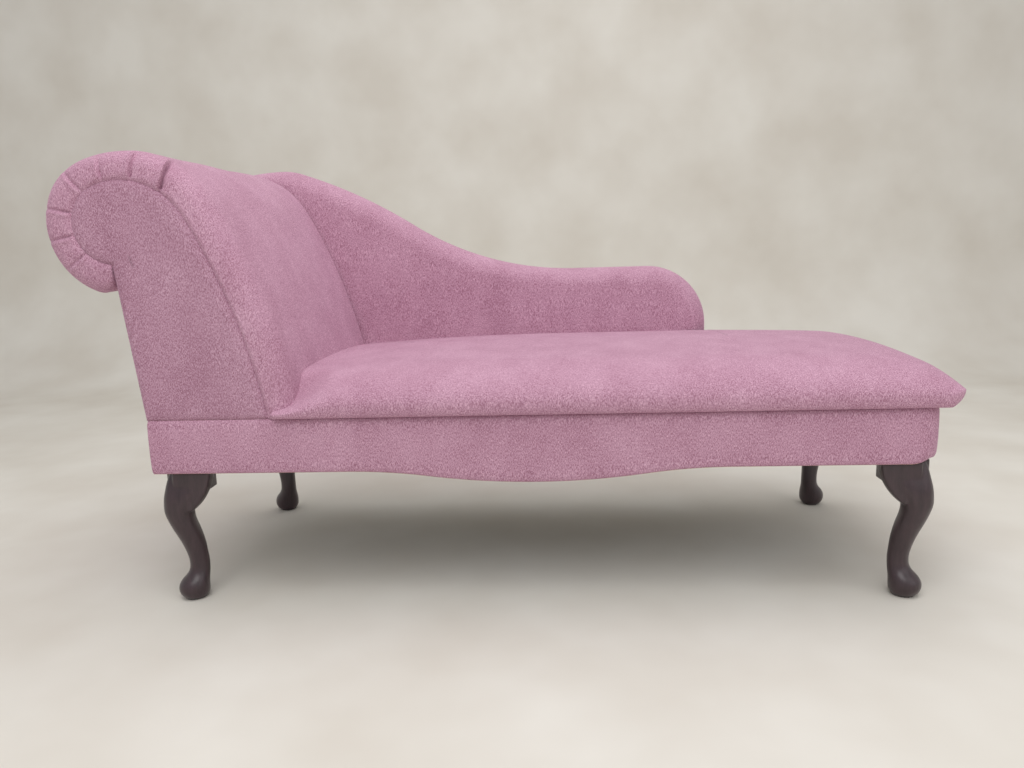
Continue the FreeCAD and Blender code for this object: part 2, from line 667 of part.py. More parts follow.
def seat_frame():
    low = f"({RAIL_TOP} + HemThickness)"
    start = f"({HEAD_END} + {SEAT_FRAME_START})"
    end = f"({HEAD_END} + BaseLength - SeatFrameInset)"
    front = f"({FRONT} + SeatFrameInset)"
    rear = f"({REAR} - SeatFrameInset)"
    inner_rear = f"({BACK_FACE} - CoverThickness - SeatFrameGap)"
    rails = f"({inner_rear} - {front} - 2 * BattenWidth)"
    run = f"({end} - {start} - 2 * BattenWidth)"
    keep(block("seat_head_batten", start, front, low,
               "BattenWidth", f"{inner_rear} - {front}", "BattenThickness"), "seat_head_batten")
    keep(block("seat_foot_batten", f"{end} - BattenWidth", front, low,
               "BattenWidth", f"{rear} - {front}", "BattenThickness"), "seat_foot_batten")
    keep(block("seat_front_batten", f"{start} + BattenWidth", front, low,
               run, "BattenWidth", "BattenThickness"), "seat_front_batten")
    keep(block("seat_rear_batten", f"{start} + BattenWidth", f"{inner_rear} - BattenWidth", low,
               run, "BattenWidth", "BattenThickness"), "seat_rear_batten")
    step = f"({HEAD_END} + {BACK_LENGTH} + CoverThickness + SeatFrameGap)"
    keep(block("seat_corner_batten", step, inner_rear, low, f"{end} - BattenWidth - {step}",
               f"{rear} - {inner_rear}", "BattenThickness"), "seat_corner_batten")
    for number in (1, 2):
        label = f"seat_cross_batten_{number}"
        keep(block(label, f"{start} + BattenWidth / 2 + {number} * ({end} - {start} - BattenWidth) / 3",
                   f"{front} + BattenWidth", low, "BattenWidth", rails, "BattenThickness"), label)
    webbing(start, end, front, inner_rear)


def webbing(start, end, front, rear):
    """Elastic strips across the seat frame, evenly spread."""
    count = int(size(f"({end} - {start} - WebbingWidth) / WebbingPitch")) + 1
    strips = []
    for number in range(count):
        spot = f"({start} + {number} * ({end} - {start} - WebbingWidth) / {count - 1})"
        strips.append(block(f"webbing_{number + 1}", spot, f"{front} + SeatFrameGap",
                            f"{RAIL_TOP} + {BATTEN_TOP}", "WebbingWidth",
                            f"{rear} - {front} - 2 * SeatFrameGap", "WebbingThickness"))
    group("seat_webbing", strips)


# Soft forms: lofts through outlines of lines and arcs

def arc_edge(centre, radius, start, end):
    """Arc in X and Z about a centre, between two angles in degrees."""
    at = [centre + Vector(math.cos(math.radians(a)), 0, math.sin(math.radians(a))) * radius
          for a in (start, (start + end) / 2, end)]
    return Part.Arc(*at).toShape(), at[0], at[2]


def wire_through(runs):
    """Closed wire of points and arcs (centre, radius, start angle, end angle)."""
    edges, ends = [], []
    for run in runs:
        if isinstance(run, Vector):
            edges.append(None)
            ends.append((run, run))
        else:
            edge, start, end = arc_edge(*run)
            edges.append(edge)
            ends.append((start, end))
    joined = []
    for index, edge in enumerate(edges):
        if edge is not None:
            joined.append(edge)
        here, there = ends[index][1], ends[(index + 1) % len(ends)][0]
        if (there - here).Length > 1e-6:
            joined.append(Part.LineSegment(here, there).toShape())
    return Part.Wire(joined)


def spot(x, z, y):
    """Point from the head end of the rails' top edge."""
    return Vector(size(HEAD_END) + x, y, size(RAIL_TOP) + z)


def outer_line(inward, z, y):
    """Point of the outer line at a height, moved in square to the line."""
    lean = math.radians(size(NOSE_END) - 270)
    return spot(inward / math.cos(lean) - z * math.tan(lean), z, y)


def head_section(y, pad, swell, below=40):
    """Head padding across the couch at one depth, filled in towards the frame."""
    lean, back_end, shoulder_end = size(LEAN), size(BACK_END), size(SHOULDER_END)
    nose_end = size(NOSE_END)
    back_radius, shoulder_radius = size("BackRadius"), size("ShoulderRadius")
    turn = math.radians(size("ShoulderSweep"))
    back_centre = spot(size(BACK_X), size(BACK_Z), y)
    nose_centre = spot(size(NOSE_X), size(NOSE_Z), y)
    outer = back_radius + pad + swell
    start = lean - math.degrees(below / outer)
    way = Vector(math.cos(math.radians(back_end)), 0, math.sin(math.radians(back_end)))
    roll = (shoulder_radius + pad - (shoulder_radius + pad + swell) * math.cos(turn)) / (
        1 - math.cos(turn))
    roll_centre = back_centre + way * (outer - roll)
    core = spot(size("HeadDepth") * 0.4, -below, y)
    return wire_through([
        (back_centre, outer, start, back_end),
        (roll_centre, roll, back_end, shoulder_end),
        (nose_centre, size("NoseRadius") + pad, shoulder_end, nose_end),
        nose_centre,
        core,
    ])


def half_space(low_z=None, high_z=None, low_y=None, high_y=None):
    """Large box that removes what lies past the given planes."""
    far = 4000
    box = Part.makeBox(2 * far, 2 * far, 2 * far, Vector(-far, -far, -far))
    x0, y0, z0, x1, y1, z1 = -far, -far, -far, far, far, far
    z0 = low_z if low_z is not None else z0
    z1 = high_z if high_z is not None else z1
    y0 = low_y if low_y is not None else y0
    y1 = high_y if high_y is not None else y1
    return box.cut(Part.makeBox(x1 - x0, y1 - y0, z1 - z0, Vector(x0, y0, z0)))


def head_form(shrink, rear):
    """Head padding as a filled form, smaller all over by a size, up to a rear plane."""
    edge, lip = size("PadEdge") - shrink, size("PadLip") - shrink
    radius = size("PadRound") - shrink
    front, swell = size(FRONT) + shrink, size("PadSwell")
    back = size(BACK_FACE)
    wires = []
    for angle in (0, 45, 90):
        turn = math.radians(angle)
        y = front + radius * (1 - math.cos(turn))
        wires.append(head_section(y, lip + (edge - lip) * math.sin(turn), 1 + angle / 90))
    wires.append(head_section(back, edge, swell))
    if rear > back:
        wires.append(head_section(rear, edge, swell + 1))
    return Part.makeLoft(wires, True, True)


def core_form(grow, front, rear, inset=0):
    """The head's wooden core as a filled form between two planes."""
    lean, back_end, shoulder_end = size(LEAN), size(BACK_END), size(SHOULDER_END)
    below = 60
    radius = size("BackRadius") + grow
    section = wire_through([
        (spot(size(BACK_X), size(BACK_Z), front), radius,
         lean - math.degrees(below / radius), back_end),
        (spot(size(SHOULDER_X), size(SHOULDER_Z), front), size("ShoulderRadius") + grow,
         back_end, shoulder_end),
        (spot(size(NOSE_X), size(NOSE_Z), front), size("NoseRadius") + grow,
         shoulder_end, size(NOSE_END)),
        outer_line(inset, -below, front),
    ])
    return Part.Face(section).extrude(Vector(0, rear - front, 0))


def back_section(y, inset, below, outer):
    """Low back's outline at one depth, its padded edge moved in."""
    nose_end = size(NOSE_END)
    end_radius = size("EndRadius") - inset
    way = math.radians(nose_end)
    nose = spot(size(NOSE_X), size(NOSE_Z), y)
    reach = size("NoseRadius + PadEdge") - inset
    low = nose + Vector(math.cos(way), 0, math.sin(way)) * reach
    side = low + Vector(-math.sin(way), 0, math.cos(way)) * outer
    runs = [
        spot(size(END_X) + end_radius, -below, y),
        (spot(size(END_X), size(END_Z), y), end_radius, 0, 90),
        (spot(size(VALLEY_X), size(VALLEY_Z), y), size("ValleyRadius") + inset,
         270, 180 + size(SWEEP_END)),
        (spot(size(SWEEP_X), size(SWEEP_Z), y), size("SweepRadius") - inset,
         size(SWEEP_END), size(HIP_END)),
        (spot(size(CROWN_X), size(HIP_Z), y), size("HipRadius") - inset, size(HIP_END), 90),
        (spot(size(CROWN_X), size(CROWN_Z), y), size("CrownRadius") - inset,
         90, size(CROWN_START)),
        (nose, reach, size(CROWN_START), nose_end),
    ]
    if outer:
        runs.append(side)
    runs.append(outer_line(outer, -below, y))
    return wire_through(runs)


def back_form(shrink, below=0):
    """Low back as a filled form with a rounded edge, smaller all over by a size."""
    front, rear = size(BACK_FACE) + shrink, size(REAR) - shrink
    radius = size("BackRound") - shrink
    stations = []
    for angle in (0, 45, 90):
        turn = math.radians(angle)
        depth, inset = radius * (1 - math.cos(turn)), radius * (1 - math.sin(turn))
        stations.append((depth, inset + shrink))
    wires = [back_section(front + depth, inset, below, max(shrink, 0)) for depth, inset in stations]
    wires += [back_section(rear - depth, inset, below, max(shrink, 0))
              for depth, inset in reversed(stations)]
    return Part.makeLoft(wires, True, True)


# Height of the seat's surface as a share of its crown, and how far in from the widest
# line it lies there: at the front and rear, at the foot end and at the head end.
SEAT_LEVELS = [
    (0.00, 9, 18, 0),
    (0.25, 0, 0, 0),
    (0.44, 7, 5, 0),
    (0.62, 32, 15, 0),
    (0.75, 78, 38, 30),
    (0.86, 138, 110, 130),
    (0.95, 208, 260, 300),
    (1.00, 262, 420, 460),
]


def flat_section(left, right, front, rear, radius, z, flats):
    """Points of a rounded rectangle at one height, each corner in short flats."""
    centres = [(right - radius, rear - radius), (left + radius, rear - radius),
               (left + radius, front + radius), (right - radius, front + radius)]
    points = []
    for quarter, (x, y) in enumerate(centres):
        for step in range(flats + 1):
            angle = math.radians(90 * (quarter + step / flats))
            points.append(Vector(x + radius * math.cos(angle), y + radius * math.sin(angle), z))
    return points


def seat_section(z, side, foot, head, shrink):
    half = size("BaseWidth / 2 + SeatLip + SeatBulge") - side - shrink
    left = size(f"{HEAD_END} + SeatStart") + head
    right = size(f"{HEAD_END} + {FOOT_REACH}") - foot - shrink
    radius = min(size("SeatCorner") - shrink + side * 0.3, half * 0.8)
    return flat_section(left, right, -half, half, radius, z, 4)


def flat_form(levels):
    """Solid with flat faces between outlines that have equal numbers of points."""
    faces = [Part.Face(Part.makePolygon(ring + ring[:1])) for ring in (levels[0], levels[-1])]
    for low, high in zip(levels, levels[1:]):
        for here in range(len(low)):
            there = (here + 1) % len(low)
            corners = [low[here], low[there], high[there], high[here], low[here]]
            faces.append(Part.Face(Part.makePolygon(corners)))
    shell = Part.Shell(faces)
    shell.sewShape()
    solid = Part.Solid(shell)
    if solid.Volume < 0:
        solid.reverse()
    return solid


def seat_form(shrink, low):
    """Seat pad as a filled dome, smaller all over by a size, from a height above the rails."""
    top, crown = size(RAIL_TOP), size("SeatCrown") - shrink
    levels = []
    for share, side, foot, head in SEAT_LEVELS:
        levels.append(seat_section(top + max(share * crown, low), side, foot, head, shrink))
    return flat_form(levels)


def trim_seat(form, gap):
    """Cuts the seat to the head padding and to the low back, with a gap."""
    head = head_form(-gap, size(REAR) + 40)
    core = core_form(5, size(FRONT) - 30, size(REAR) + 40, -200)
    back = back_form(-gap, 60)
    left = size(HEAD_END)
    length = size(BACK_LENGTH)
    face, middle = size(BACK_FACE) - gap, size(f"{BACK_FACE} + BackThickness / 2")
    low, tall = size("LegHeight"), size("RailDepth + 2 * SeatCrown")
    deep = size("BackThickness") * 2
    behind = Part.makeBox(length - size("BackRound"), deep, tall, Vector(left, face, low))
    beside = Part.makeBox(length + gap, deep, tall, Vector(left, middle, low))
    for tool in (head, core, behind, beside, back):
        form = form.cut(tool)
    return form


def soft(label, shape):
    """A soft piece, from the one solid of a shape."""
    solids = sorted(shape.Solids, key=lambda solid: solid.Volume)
    piece = doc.addObject("Part::Feature", label)
    piece.Shape = solids[-1]
    if len(solids) > 1:
        print(label, "dropped", [round(solid.Volume) for solid in solids[:-1]])
    return keep(piece, label)


def head_padding():
    cover, gap = size("CoverThickness"), size("Clearance")
    back = size(BACK_FACE)
    core = core_form(gap, size(FRONT) - 5, back + 60)
    below = half_space(low_z=size(RAIL_TOP))
    behind = half_space(high_y=back - gap)
    outer = head_form(0, back + 10).cut(core).cut(below).cut(behind)
    inner = head_form(cover, back + 20).cut(half_space(high_y=back - gap - cover))
    soft("head_cover", outer.cut(inner))
    end = half_space(high_y=back - cover - 2 * gap)
    soft("head_foam", head_form(cover + gap, back + 20).cut(core).cut(below).cut(end))


def back_padding():
    cover, gap = size("CoverThickness"), size("Clearance")
    below = half_space(low_z=size(RAIL_TOP))
    board_front = size(LINING_FACE) - gap
    rear = size(REAR)
    boards = Part.Face(back_section(board_front, size("BoardInset") - gap, 40, -20)).extrude(
        Vector(0, rear + 40 - board_front, 0))
    core = core_form(gap, size(BACK_FACE) - 20, rear + 40, -20)
    top = size(nose_point("NoseRadius + PadEdge")[1])
    corners = [(-20, -40), (cover + gap, -40), (cover + gap, top), (-20, top)]
    outside = Part.Face(wire_through([
        outer_line(inward, z, size(FRONT)) for inward, z in corners])).extrude(Vector(0, 2 * rear, 0))
    shell = back_form(0, 20).cut(back_form(cover, 30))
    soft("backrest_cover", shell.cut(boards).cut(core).cut(outside).cut(below))
    foam = back_form(cover + gap, 20).cut(boards).cut(core).cut(outside).cut(below)
    soft("backrest_foam", foam)


def seat_padding():
    cover, gap = size("CoverThickness"), size("Clearance")
    hem = size("HemThickness")
    outer = trim_seat(seat_form(0, 0), gap)
    inner = trim_seat(seat_form(cover, hem), gap + cover)
    width = size("HemWidth")
    opening = trim_seat(seat_form(cover + width, -20), gap + cover + width)
    opening = opening.cut(half_space(high_z=size(RAIL_TOP) + hem + 5))
    soft("seat_cover", outer.cut(inner).cut(opening))
    low = size(f"{BATTEN_TOP} + WebbingThickness") + gap
    foam = trim_seat(seat_form(cover + gap, 0), 2 * gap + cover)
    soft("seat_foam", foam.cut(half_space(low_z=size(RAIL_TOP) + low)))


# Cabriole legs

LEG_LEVELS = [
    ("LegHeight", "LegTopInset", "LegTopSize", 0.08),
    ("(LegHeight + KneeHeight) / 2", "(LegTopInset + 2 * KneeInset) / 3", "KneeSize", 0.14),
    ("KneeHeight", "KneeInset", "KneeSize", 0.24),
    ("HollowHeight", "KneeInset", "HollowSize", 0.34),
    ("(HollowHeight + CalfHeight) / 2", "(KneeInset + CalfInset) / 2 - 1", "CalfSize", 0.37),
    ("CalfHeight", "CalfInset", "CalfSize", 0.4),
    ("(CalfHeight + AnkleHeight) / 2", "(CalfInset + AnkleInset) / 2 + 2",
     "(CalfSize + AnkleSize) / 2", 0.44),
    ("AnkleHeight", "AnkleInset", "AnkleSize", 0.47),
    ("(AnkleHeight + FootHeight) / 2 + 3", "AnkleInset - 4", "AnkleSize + 4", 0.48),
    ("FootHeight + 12", "FootInset + 3", "FootSize - 4", 0.48),
    ("FootHeight", "FootInset", "FootSize", 0.48),
    ("FootHeight / 3", "FootInset + 3", "FootSize - 6", 0.48),
    ("0", "SoleInset", "SoleSize", 0.48),
]


def leg_curve(label):
    """Curved part of the leg, its levels joined by more levels on a smooth line."""
    main = [[size(text) for text in level[:3]] + [level[3]] for level in LEG_LEVELS]
    smooth = []
    for number, level in enumerate(main[:-1]):
        before, after = main[max(number - 1, 0)], main[number + 1]
        beyond = main[min(number + 2, len(main) - 1)]
        between = [(9 * (here + there) - first - last) / 16
                   for first, here, there, last in zip(before, level, after, beyond)]
        smooth += [level, between]
    smooth.append(main[-1])
    rings = []
    for height, inset, width, share in smooth:
        far = inset + width
        rings.append(flat_section(inset, far, inset, far, share * width, height, 3))
    curve = doc.addObject("Part::Feature", label + "Curve")
    curve.Shape = flat_form(rings)
    return curve


def ear(body, name, role, offset, reverse):
    """Bracket beside the knee, under the rail."""
    sketch = new_sketch(body, name + "Outline", role, offset)
    centre_x, centre_z = "(0 - EarCentreInset)", "(LegHeight + EarCentreLift)"
    low, inner = "HollowHeight", "(KneeInset + HollowSize / 2)"
    start = (inner, low)
    top_angle = "(0 - asin(EarCentreLift / EarRadius) / (1 deg))"
    steps = [
        (f"sqrt(pow(EarRadius; 2) - pow({centre_z} - {low}; 2)) - EarCentreInset", low),
        (centre_x, centre_z, "EarRadius", top_angle, 1),
        (inner, "LegHeight"),
        start,
    ]
    draw(sketch, start, steps)
    extrude(body, sketch, name, "EarThickness", reverse)


def leg(label, x, y, turn):
    """Cabriole leg: knee, ankle and pad foot, with a square block that meets the frame."""
    body = doc.addObject("PartDesign::Body", label)
    body.BaseFeature = leg_curve(label)
    plan = new_sketch(body, label + "BlockPlan", "XY_Plane", "LegHeight - LegBlockHeight")
    low = "(LegTopInset + 4)"
    draw(plan, *rectangle(low, low, f"{low} + LegBlockSize", f"{low} + LegBlockSize"))
    extrude(body, plan, label + "Block", "LegBlockHeight")
    ear(body, label + "FrontEar", "XZ_Plane", "0 - EarInset", True)
    ear(body, label + "SideEar", "YZ_Plane", "EarInset", False)
    hole = new_sketch(body, label + "BoltPlan", "XY_Plane", "LegHeight")
    from Sketcher import Constraint
    radius = size("BoltDiameter / 2 + BoltClearance")
    spot_now = size(BOLT_INSET)
    index = hole.addGeometry(Part.Circle(Vector(spot_now, spot_now, 0), Vector(0, 0, 1), radius))
    pin(hole, index, 3, BOLT_INSET, BOLT_INSET)
    mark = hole.addConstraint(Constraint("Radius", index, radius))
    hole.setExpression(f"Constraints[{mark}]", bound("BoltDiameter / 2 + BoltClearance"))
    pocket = body.newObject("PartDesign::Pocket", label + "BoltHole")
    pocket.Profile = hole
    bind(pocket, Length="LegBoltReach + 1")
    body.Placement.Rotation = Rotation(Vector(0, 0, 1), turn)
    place(body, x, y, "0")
    return keep(body, label)


def legs():
    foot_end = f"({HEAD_END} + BaseLength)"
    leg("front_head_leg", HEAD_END, FRONT, 0)
    leg("front_foot_leg", foot_end, FRONT, 90)
    leg("rear_foot_leg", foot_end, REAR, 180)
    leg("rear_head_leg", HEAD_END, REAR, 270)
    rods = []
    for number, (x, sign) in enumerate(((f"{HEAD_END} + {BOLT_INSET}", -1),
                                        (f"{foot_end} - {BOLT_INSET}", -1),
                                        (f"{foot_end} - {BOLT_INSET}", 1),
                                        (f"{HEAD_END} + {BOLT_INSET}", 1)), 1):
        rod = doc.addObject("Part::Cylinder", f"leg_bolt_{number}")
        bind(rod, Radius="BoltDiameter / 2", Height="2 * LegBoltReach")
        place(rod, x, f"{sign} * (BaseWidth / 2 - {BOLT_INSET})", "LegHeight - LegBoltReach")
        rods.append(rod)
    group("leg_bolts", rods)


def build():
    base_frame()
    base_covers()
    posts_and_bolts()
    head_frame()
    back_frame()
    seat_frame()
    legs()
    doc.recompute()
    head_padding()
    back_padding()
    seat_padding()
    doc.recompute()


def check():
    for item in doc.Objects:
        if "Invalid" in item.State or "Error" in item.State:
            raise RuntimeError(f"{item.Label} failed: {item.State}")
    for piece in parts:
        if piece.Shape.isNull() or not piece.Shape.isValid() or not piece.Shape.Solids:
            raise RuntimeError(f"{piece.Label} has no valid shape")


def export():
    os.makedirs("parts", exist_ok=True)
    for piece in parts:
        piece.Shape.exportStep(f"parts/{piece.Label}.step")


build()
check()
export()
print(len(parts), "nodes")
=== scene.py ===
import json
import math

import bmesh
import bpy
import numpy as np
from mathutils import Matrix, Vector, noise


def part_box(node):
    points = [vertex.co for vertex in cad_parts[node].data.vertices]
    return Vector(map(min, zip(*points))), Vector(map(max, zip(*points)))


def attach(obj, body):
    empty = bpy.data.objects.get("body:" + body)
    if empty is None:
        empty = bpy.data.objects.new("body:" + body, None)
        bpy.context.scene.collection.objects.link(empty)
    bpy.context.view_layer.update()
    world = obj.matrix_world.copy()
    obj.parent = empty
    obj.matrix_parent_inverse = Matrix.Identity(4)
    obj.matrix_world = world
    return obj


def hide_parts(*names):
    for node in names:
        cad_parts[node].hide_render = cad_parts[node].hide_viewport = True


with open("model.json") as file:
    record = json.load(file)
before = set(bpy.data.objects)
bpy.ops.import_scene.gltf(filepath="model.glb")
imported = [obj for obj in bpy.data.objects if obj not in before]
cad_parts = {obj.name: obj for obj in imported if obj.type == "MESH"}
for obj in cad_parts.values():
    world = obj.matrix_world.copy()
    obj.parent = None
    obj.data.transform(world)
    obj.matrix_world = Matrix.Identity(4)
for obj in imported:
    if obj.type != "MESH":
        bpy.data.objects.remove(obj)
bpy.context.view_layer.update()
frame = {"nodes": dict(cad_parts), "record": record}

# Places that every piece is measured from: head end of the base, top of the rails, front and rear.
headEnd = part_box("head_rail_cover")[0].x
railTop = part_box("head_rail_cover")[1].z
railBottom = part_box("head_rail_cover")[0].z
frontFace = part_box("front_rail_cover")[0].y
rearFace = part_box("rear_rail_cover")[1].y
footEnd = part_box("foot_rail_cover")[1].x
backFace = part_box("backrest_cover")[0].y


# Mesh helpers

def gridPiece(name, rows, wrapRows=False, wrapColumns=True, caps=False):
    # rows is an array of (row, column, xyz); a wrapped column closes each row's loop
    rows = np.asarray(rows, dtype=float)
    rowCount, columnCount = rows.shape[:2]
    mesh = bpy.data.meshes.new(name)
    points = rows.reshape(-1, 3).tolist()
    faces = []
    for i in range(rowCount if wrapRows else rowCount - 1):
        for j in range(columnCount if wrapColumns else columnCount - 1):
            a, b = i * columnCount, ((i + 1) % rowCount) * columnCount
            k = (j + 1) % columnCount
            faces.append((a + j, a + k, b + k, b + j))
    if caps:
        faces.append(tuple(range(columnCount - 1, -1, -1)))
        faces.append(tuple(range((rowCount - 1) * columnCount, rowCount * columnCount)))
    mesh.from_pydata(points, [], faces)
    piece = bpy.data.objects.new(name, mesh)
    bpy.context.scene.collection.objects.link(piece)
    outward(piece)
    smooth(piece)
    return piece


def outward(piece):
    shape = bmesh.new()
    shape.from_mesh(piece.data)
    bmesh.ops.remove_doubles(shape, verts=shape.verts, dist=1e-6)
    bmesh.ops.recalc_face_normals(shape, faces=shape.faces)
    shape.to_mesh(piece.data)
    shape.free()


def smooth(piece):
    for face in piece.data.polygons:
        face.use_smooth = True


def arcChain(start, heading, runs, spacing):
    # points of tangent arcs, each (radius, sweep in degrees), positive sweeps turning left,
    # with fewer points on the wide ones
    x, z = start
    angle = math.radians(heading)
    points, normals, stops = [(x, z)], [(math.sin(angle), -math.cos(angle))], [0]
    for radius, sweep in runs:
        if radius == 0:
            count = max(2, round(sweep / spacing))
            for step in range(1, count + 1):
                share = sweep * step / count
                points.append((x + math.cos(angle) * share, z + math.sin(angle) * share))
                normals.append((math.sin(angle), -math.cos(angle)))
            x, z = points[-1]
        else:
            turn = math.radians(sweep)
            side = math.copysign(1, turn)
            cx, cz = x - math.sin(angle) * radius * side, z + math.cos(angle) * radius * side
            count = max(2, round(abs(turn) * radius / (spacing if radius < 0.2 else spacing * 3)))
            for step in range(1, count + 1):
                now = angle + turn * step / count
                points.append((cx + math.sin(now) * radius * side, cz - math.cos(now) * radius * side))
                normals.append((math.sin(now), -math.cos(now)))
            angle += turn
            x, z = points[-1]
        stops.append(len(points) - 1)
    return np.array(points), np.array(normals), stops


def ease(value, low, high):
    share = min(max((value - low) / (high - low), 0), 1)
    return share * share * (3 - 2 * share)


def bell(value, middle, width):
    return math.exp(-((value - middle) / width) ** 2)


def softNoise(x, y, z, scale, strength):
    return strength * noise.noise(Vector((x, y, z)) * scale)


def finishPiece(piece, material, slotName, *nodes, fill=None):
    piece.data.materials.clear()
    piece.data.materials.append(material)
    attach(piece, "root")
    if nodes:
        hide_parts(*nodes)
    return piece


# Shader helpers

def newMaterial(name):
    material = bpy.data.materials.new(name)
    material.use_nodes = True
    tree = material.node_tree
    tree.nodes.clear()
    output = tree.nodes.new("ShaderNodeOutputMaterial")
    surface = tree.nodes.new("ShaderNodeBsdfPrincipled")
    tree.links.new(surface.outputs["BSDF"], output.inputs["Surface"])
    return material, tree, surface


def linear(red, green, blue):
    # a colour as seen on screen, 0 to 255, for a shader's socket
    def channel(value):
        value /= 255
        return value / 12.92 if value <= 0.04045 else ((value + 0.055) / 1.055) ** 2.4
    return (channel(red), channel(green), channel(blue), 1)


def addNode(tree, kind, **inputs):
    made = tree.nodes.new(kind)
    for key, value in inputs.items():
        made.inputs[key].default_value = value
    return made


def mapped(tree, source, scale):
    mapping = addNode(tree, "ShaderNodeMapping")
    mapping.inputs["Scale"].default_value = scale
    tree.links.new(source, mapping.inputs["Vector"])
    return mapping.outputs["Vector"]


def noiseValue(tree, vector, scale, detail=2.0, roughness=0.5):
    made = addNode(tree, "ShaderNodeTexNoise", Scale=scale, Detail=detail, Roughness=roughness)
    tree.links.new(vector, made.inputs["Vector"])
    return made.outputs["Fac"]


def mixColour(tree, share, first, second):
    made = tree.nodes.new("ShaderNodeMix")
    made.data_type = "RGBA"
    for identifier, value in (("Factor_Float", share), ("A_Color", first), ("B_Color", second)):
        socket = next(s for s in made.inputs if s.identifier == identifier)
        if hasattr(value, "links"):
            tree.links.new(value, socket)
        else:
            socket.default_value = value
    return next(s for s in made.outputs if s.identifier == "Result_Color")


def spread(tree, value, low, high, toLow=0.0, toHigh=1.0):
    made = tree.nodes.new("ShaderNodeMapRange")
    tree.links.new(value, made.inputs["Value"])
    for key, number in (("From Min", low), ("From Max", high), ("To Min", toLow), ("To Max", toHigh)):
        made.inputs[key].default_value = number
    return made.outputs["Result"]


def calc(tree, operation, first, second):
    made = tree.nodes.new("ShaderNodeMath")
    made.operation = operation
    for index, value in enumerate((first, second)):
        if hasattr(value, "links"):
            tree.links.new(value, made.inputs[index])
        else:
            made.inputs[index].default_value = value
    return made.outputs["Value"]


pileShares = {
    # what each pattern adds to the shade, and to the height of the pile
    "streak": 0.50, "grain": 0.41, "patch": 0.09, "grainHeight": 0.6, "threadHeight": 0.4,
}


def makePileGroup():
    # chenille: fine upright streaks of pile, mottled grain and broad patches where it is brushed
    group = bpy.data.node_groups.new("chenillePile", "ShaderNodeTree")
    for name, kind in (("Vector", "NodeSocketVector"), ("Streak Scale", "NodeSocketFloat"),
                       ("Grain Scale", "NodeSocketFloat"), ("Patch Scale", "NodeSocketFloat")):
        group.interface.new_socket(name=name, in_out="INPUT", socket_type=kind)
    for name in ("Shade", "Height"):
        group.interface.new_socket(name=name, in_out="OUTPUT", socket_type="NodeSocketFloat")
    start = group.nodes.new("NodeGroupInput")
    end = group.nodes.new("NodeGroupOutput")

    def scaled(stretch, socket):
        vector = mapped(group, start.outputs["Vector"], stretch)
        made = addNode(group, "ShaderNodeTexNoise", Detail=3.0, Roughness=0.6)
        group.links.new(vector, made.inputs["Vector"])
        group.links.new(start.outputs[socket], made.inputs["Scale"])
        return made.outputs["Fac"]

    streak = scaled((1.0, 1.0, 0.3), "Streak Scale")
    thread = scaled((0.5, 0.5, 1.9), "Grain Scale")
    grain = scaled((1.0, 1.0, 1.0), "Grain Scale")
    patch = scaled((1.0, 1.0, 0.6), "Patch Scale")
    parts = [calc(group, "MULTIPLY", spread(group, value, 0.3, 0.7), pileShares[key])
             for key, value in (("streak", streak), ("grain", grain), ("patch", patch))]
    shade = calc(group, "ADD", calc(group, "ADD", parts[0], parts[1]), parts[2])
    height = calc(group, "ADD", calc(group, "MULTIPLY", grain, pileShares["grainHeight"]),
                  calc(group, "MULTIPLY", thread, pileShares["threadHeight"]))
    group.links.new(shade, end.inputs["Shade"])
    group.links.new(height, end.inputs["Height"])
    return group


pileGroup = makePileGroup()

fabricLook = {
    "dark": (143, 95, 116),
    "middle": (188, 143, 164),
    "light": (221, 183, 203),
    "streakScale": 860.0,
    "grainScale": 1000.0,
    "patchScale": 14.0,
    "sheen": 0.35,
    "sheenRoughness": 0.4,
    "sheenColour": (240, 205, 228),
    "roughness": 0.92,
    "specular": 0.15,
    "bump": 0.35,
    "bumpDepth": 0.0012,
}


def makeFabric(name, look, paintedShadeFactor=1.0):
    material, tree, surface = newMaterial(name)
    place = tree.nodes.new("ShaderNodeTexCoord").outputs["Object"]
    pile = tree.nodes.new("ShaderNodeGroup")
    pile.node_tree = pileGroup
    tree.links.new(place, pile.inputs["Vector"])
    for socket, key in (("Streak Scale", "streakScale"), ("Grain Scale", "grainScale"),
                        ("Patch Scale", "patchScale")):
        pile.inputs[socket].default_value = look[key]
    shade = pile.outputs["Shade"]
    # a factor below 1 darkens all three colours: painted shade, for a shaded copy of the same cloth
    colours = [tuple(c * paintedShadeFactor if i < 3 else c for i, c in enumerate(linear(*look[key])))
               for key in ("dark", "middle", "light")]
    colour = mixColour(tree, spread(tree, shade, 0.25, 0.55), colours[0], colours[1])
    colour = mixColour(tree, spread(tree, shade, 0.5, 0.8), colour, colours[2])
    tree.links.new(colour, surface.inputs["Base Color"])
    surface.inputs["Roughness"].default_value = look["roughness"]
    surface.inputs["Sheen Weight"].default_value = look["sheen"]
    surface.inputs["Sheen Roughness"].default_value = look["sheenRoughness"]
    surface.inputs["Sheen Tint"].default_value = linear(*look["sheenColour"])
    surface.inputs["Specular IOR Level"].default_value = look["specular"]
    bump = addNode(tree, "ShaderNodeBump", Strength=look["bump"], Distance=look["bumpDepth"])
    tree.links.new(pile.outputs["Height"], bump.inputs["Height"])
    tree.links.new(bump.outputs["Normal"], surface.inputs["Normal"])
    return material


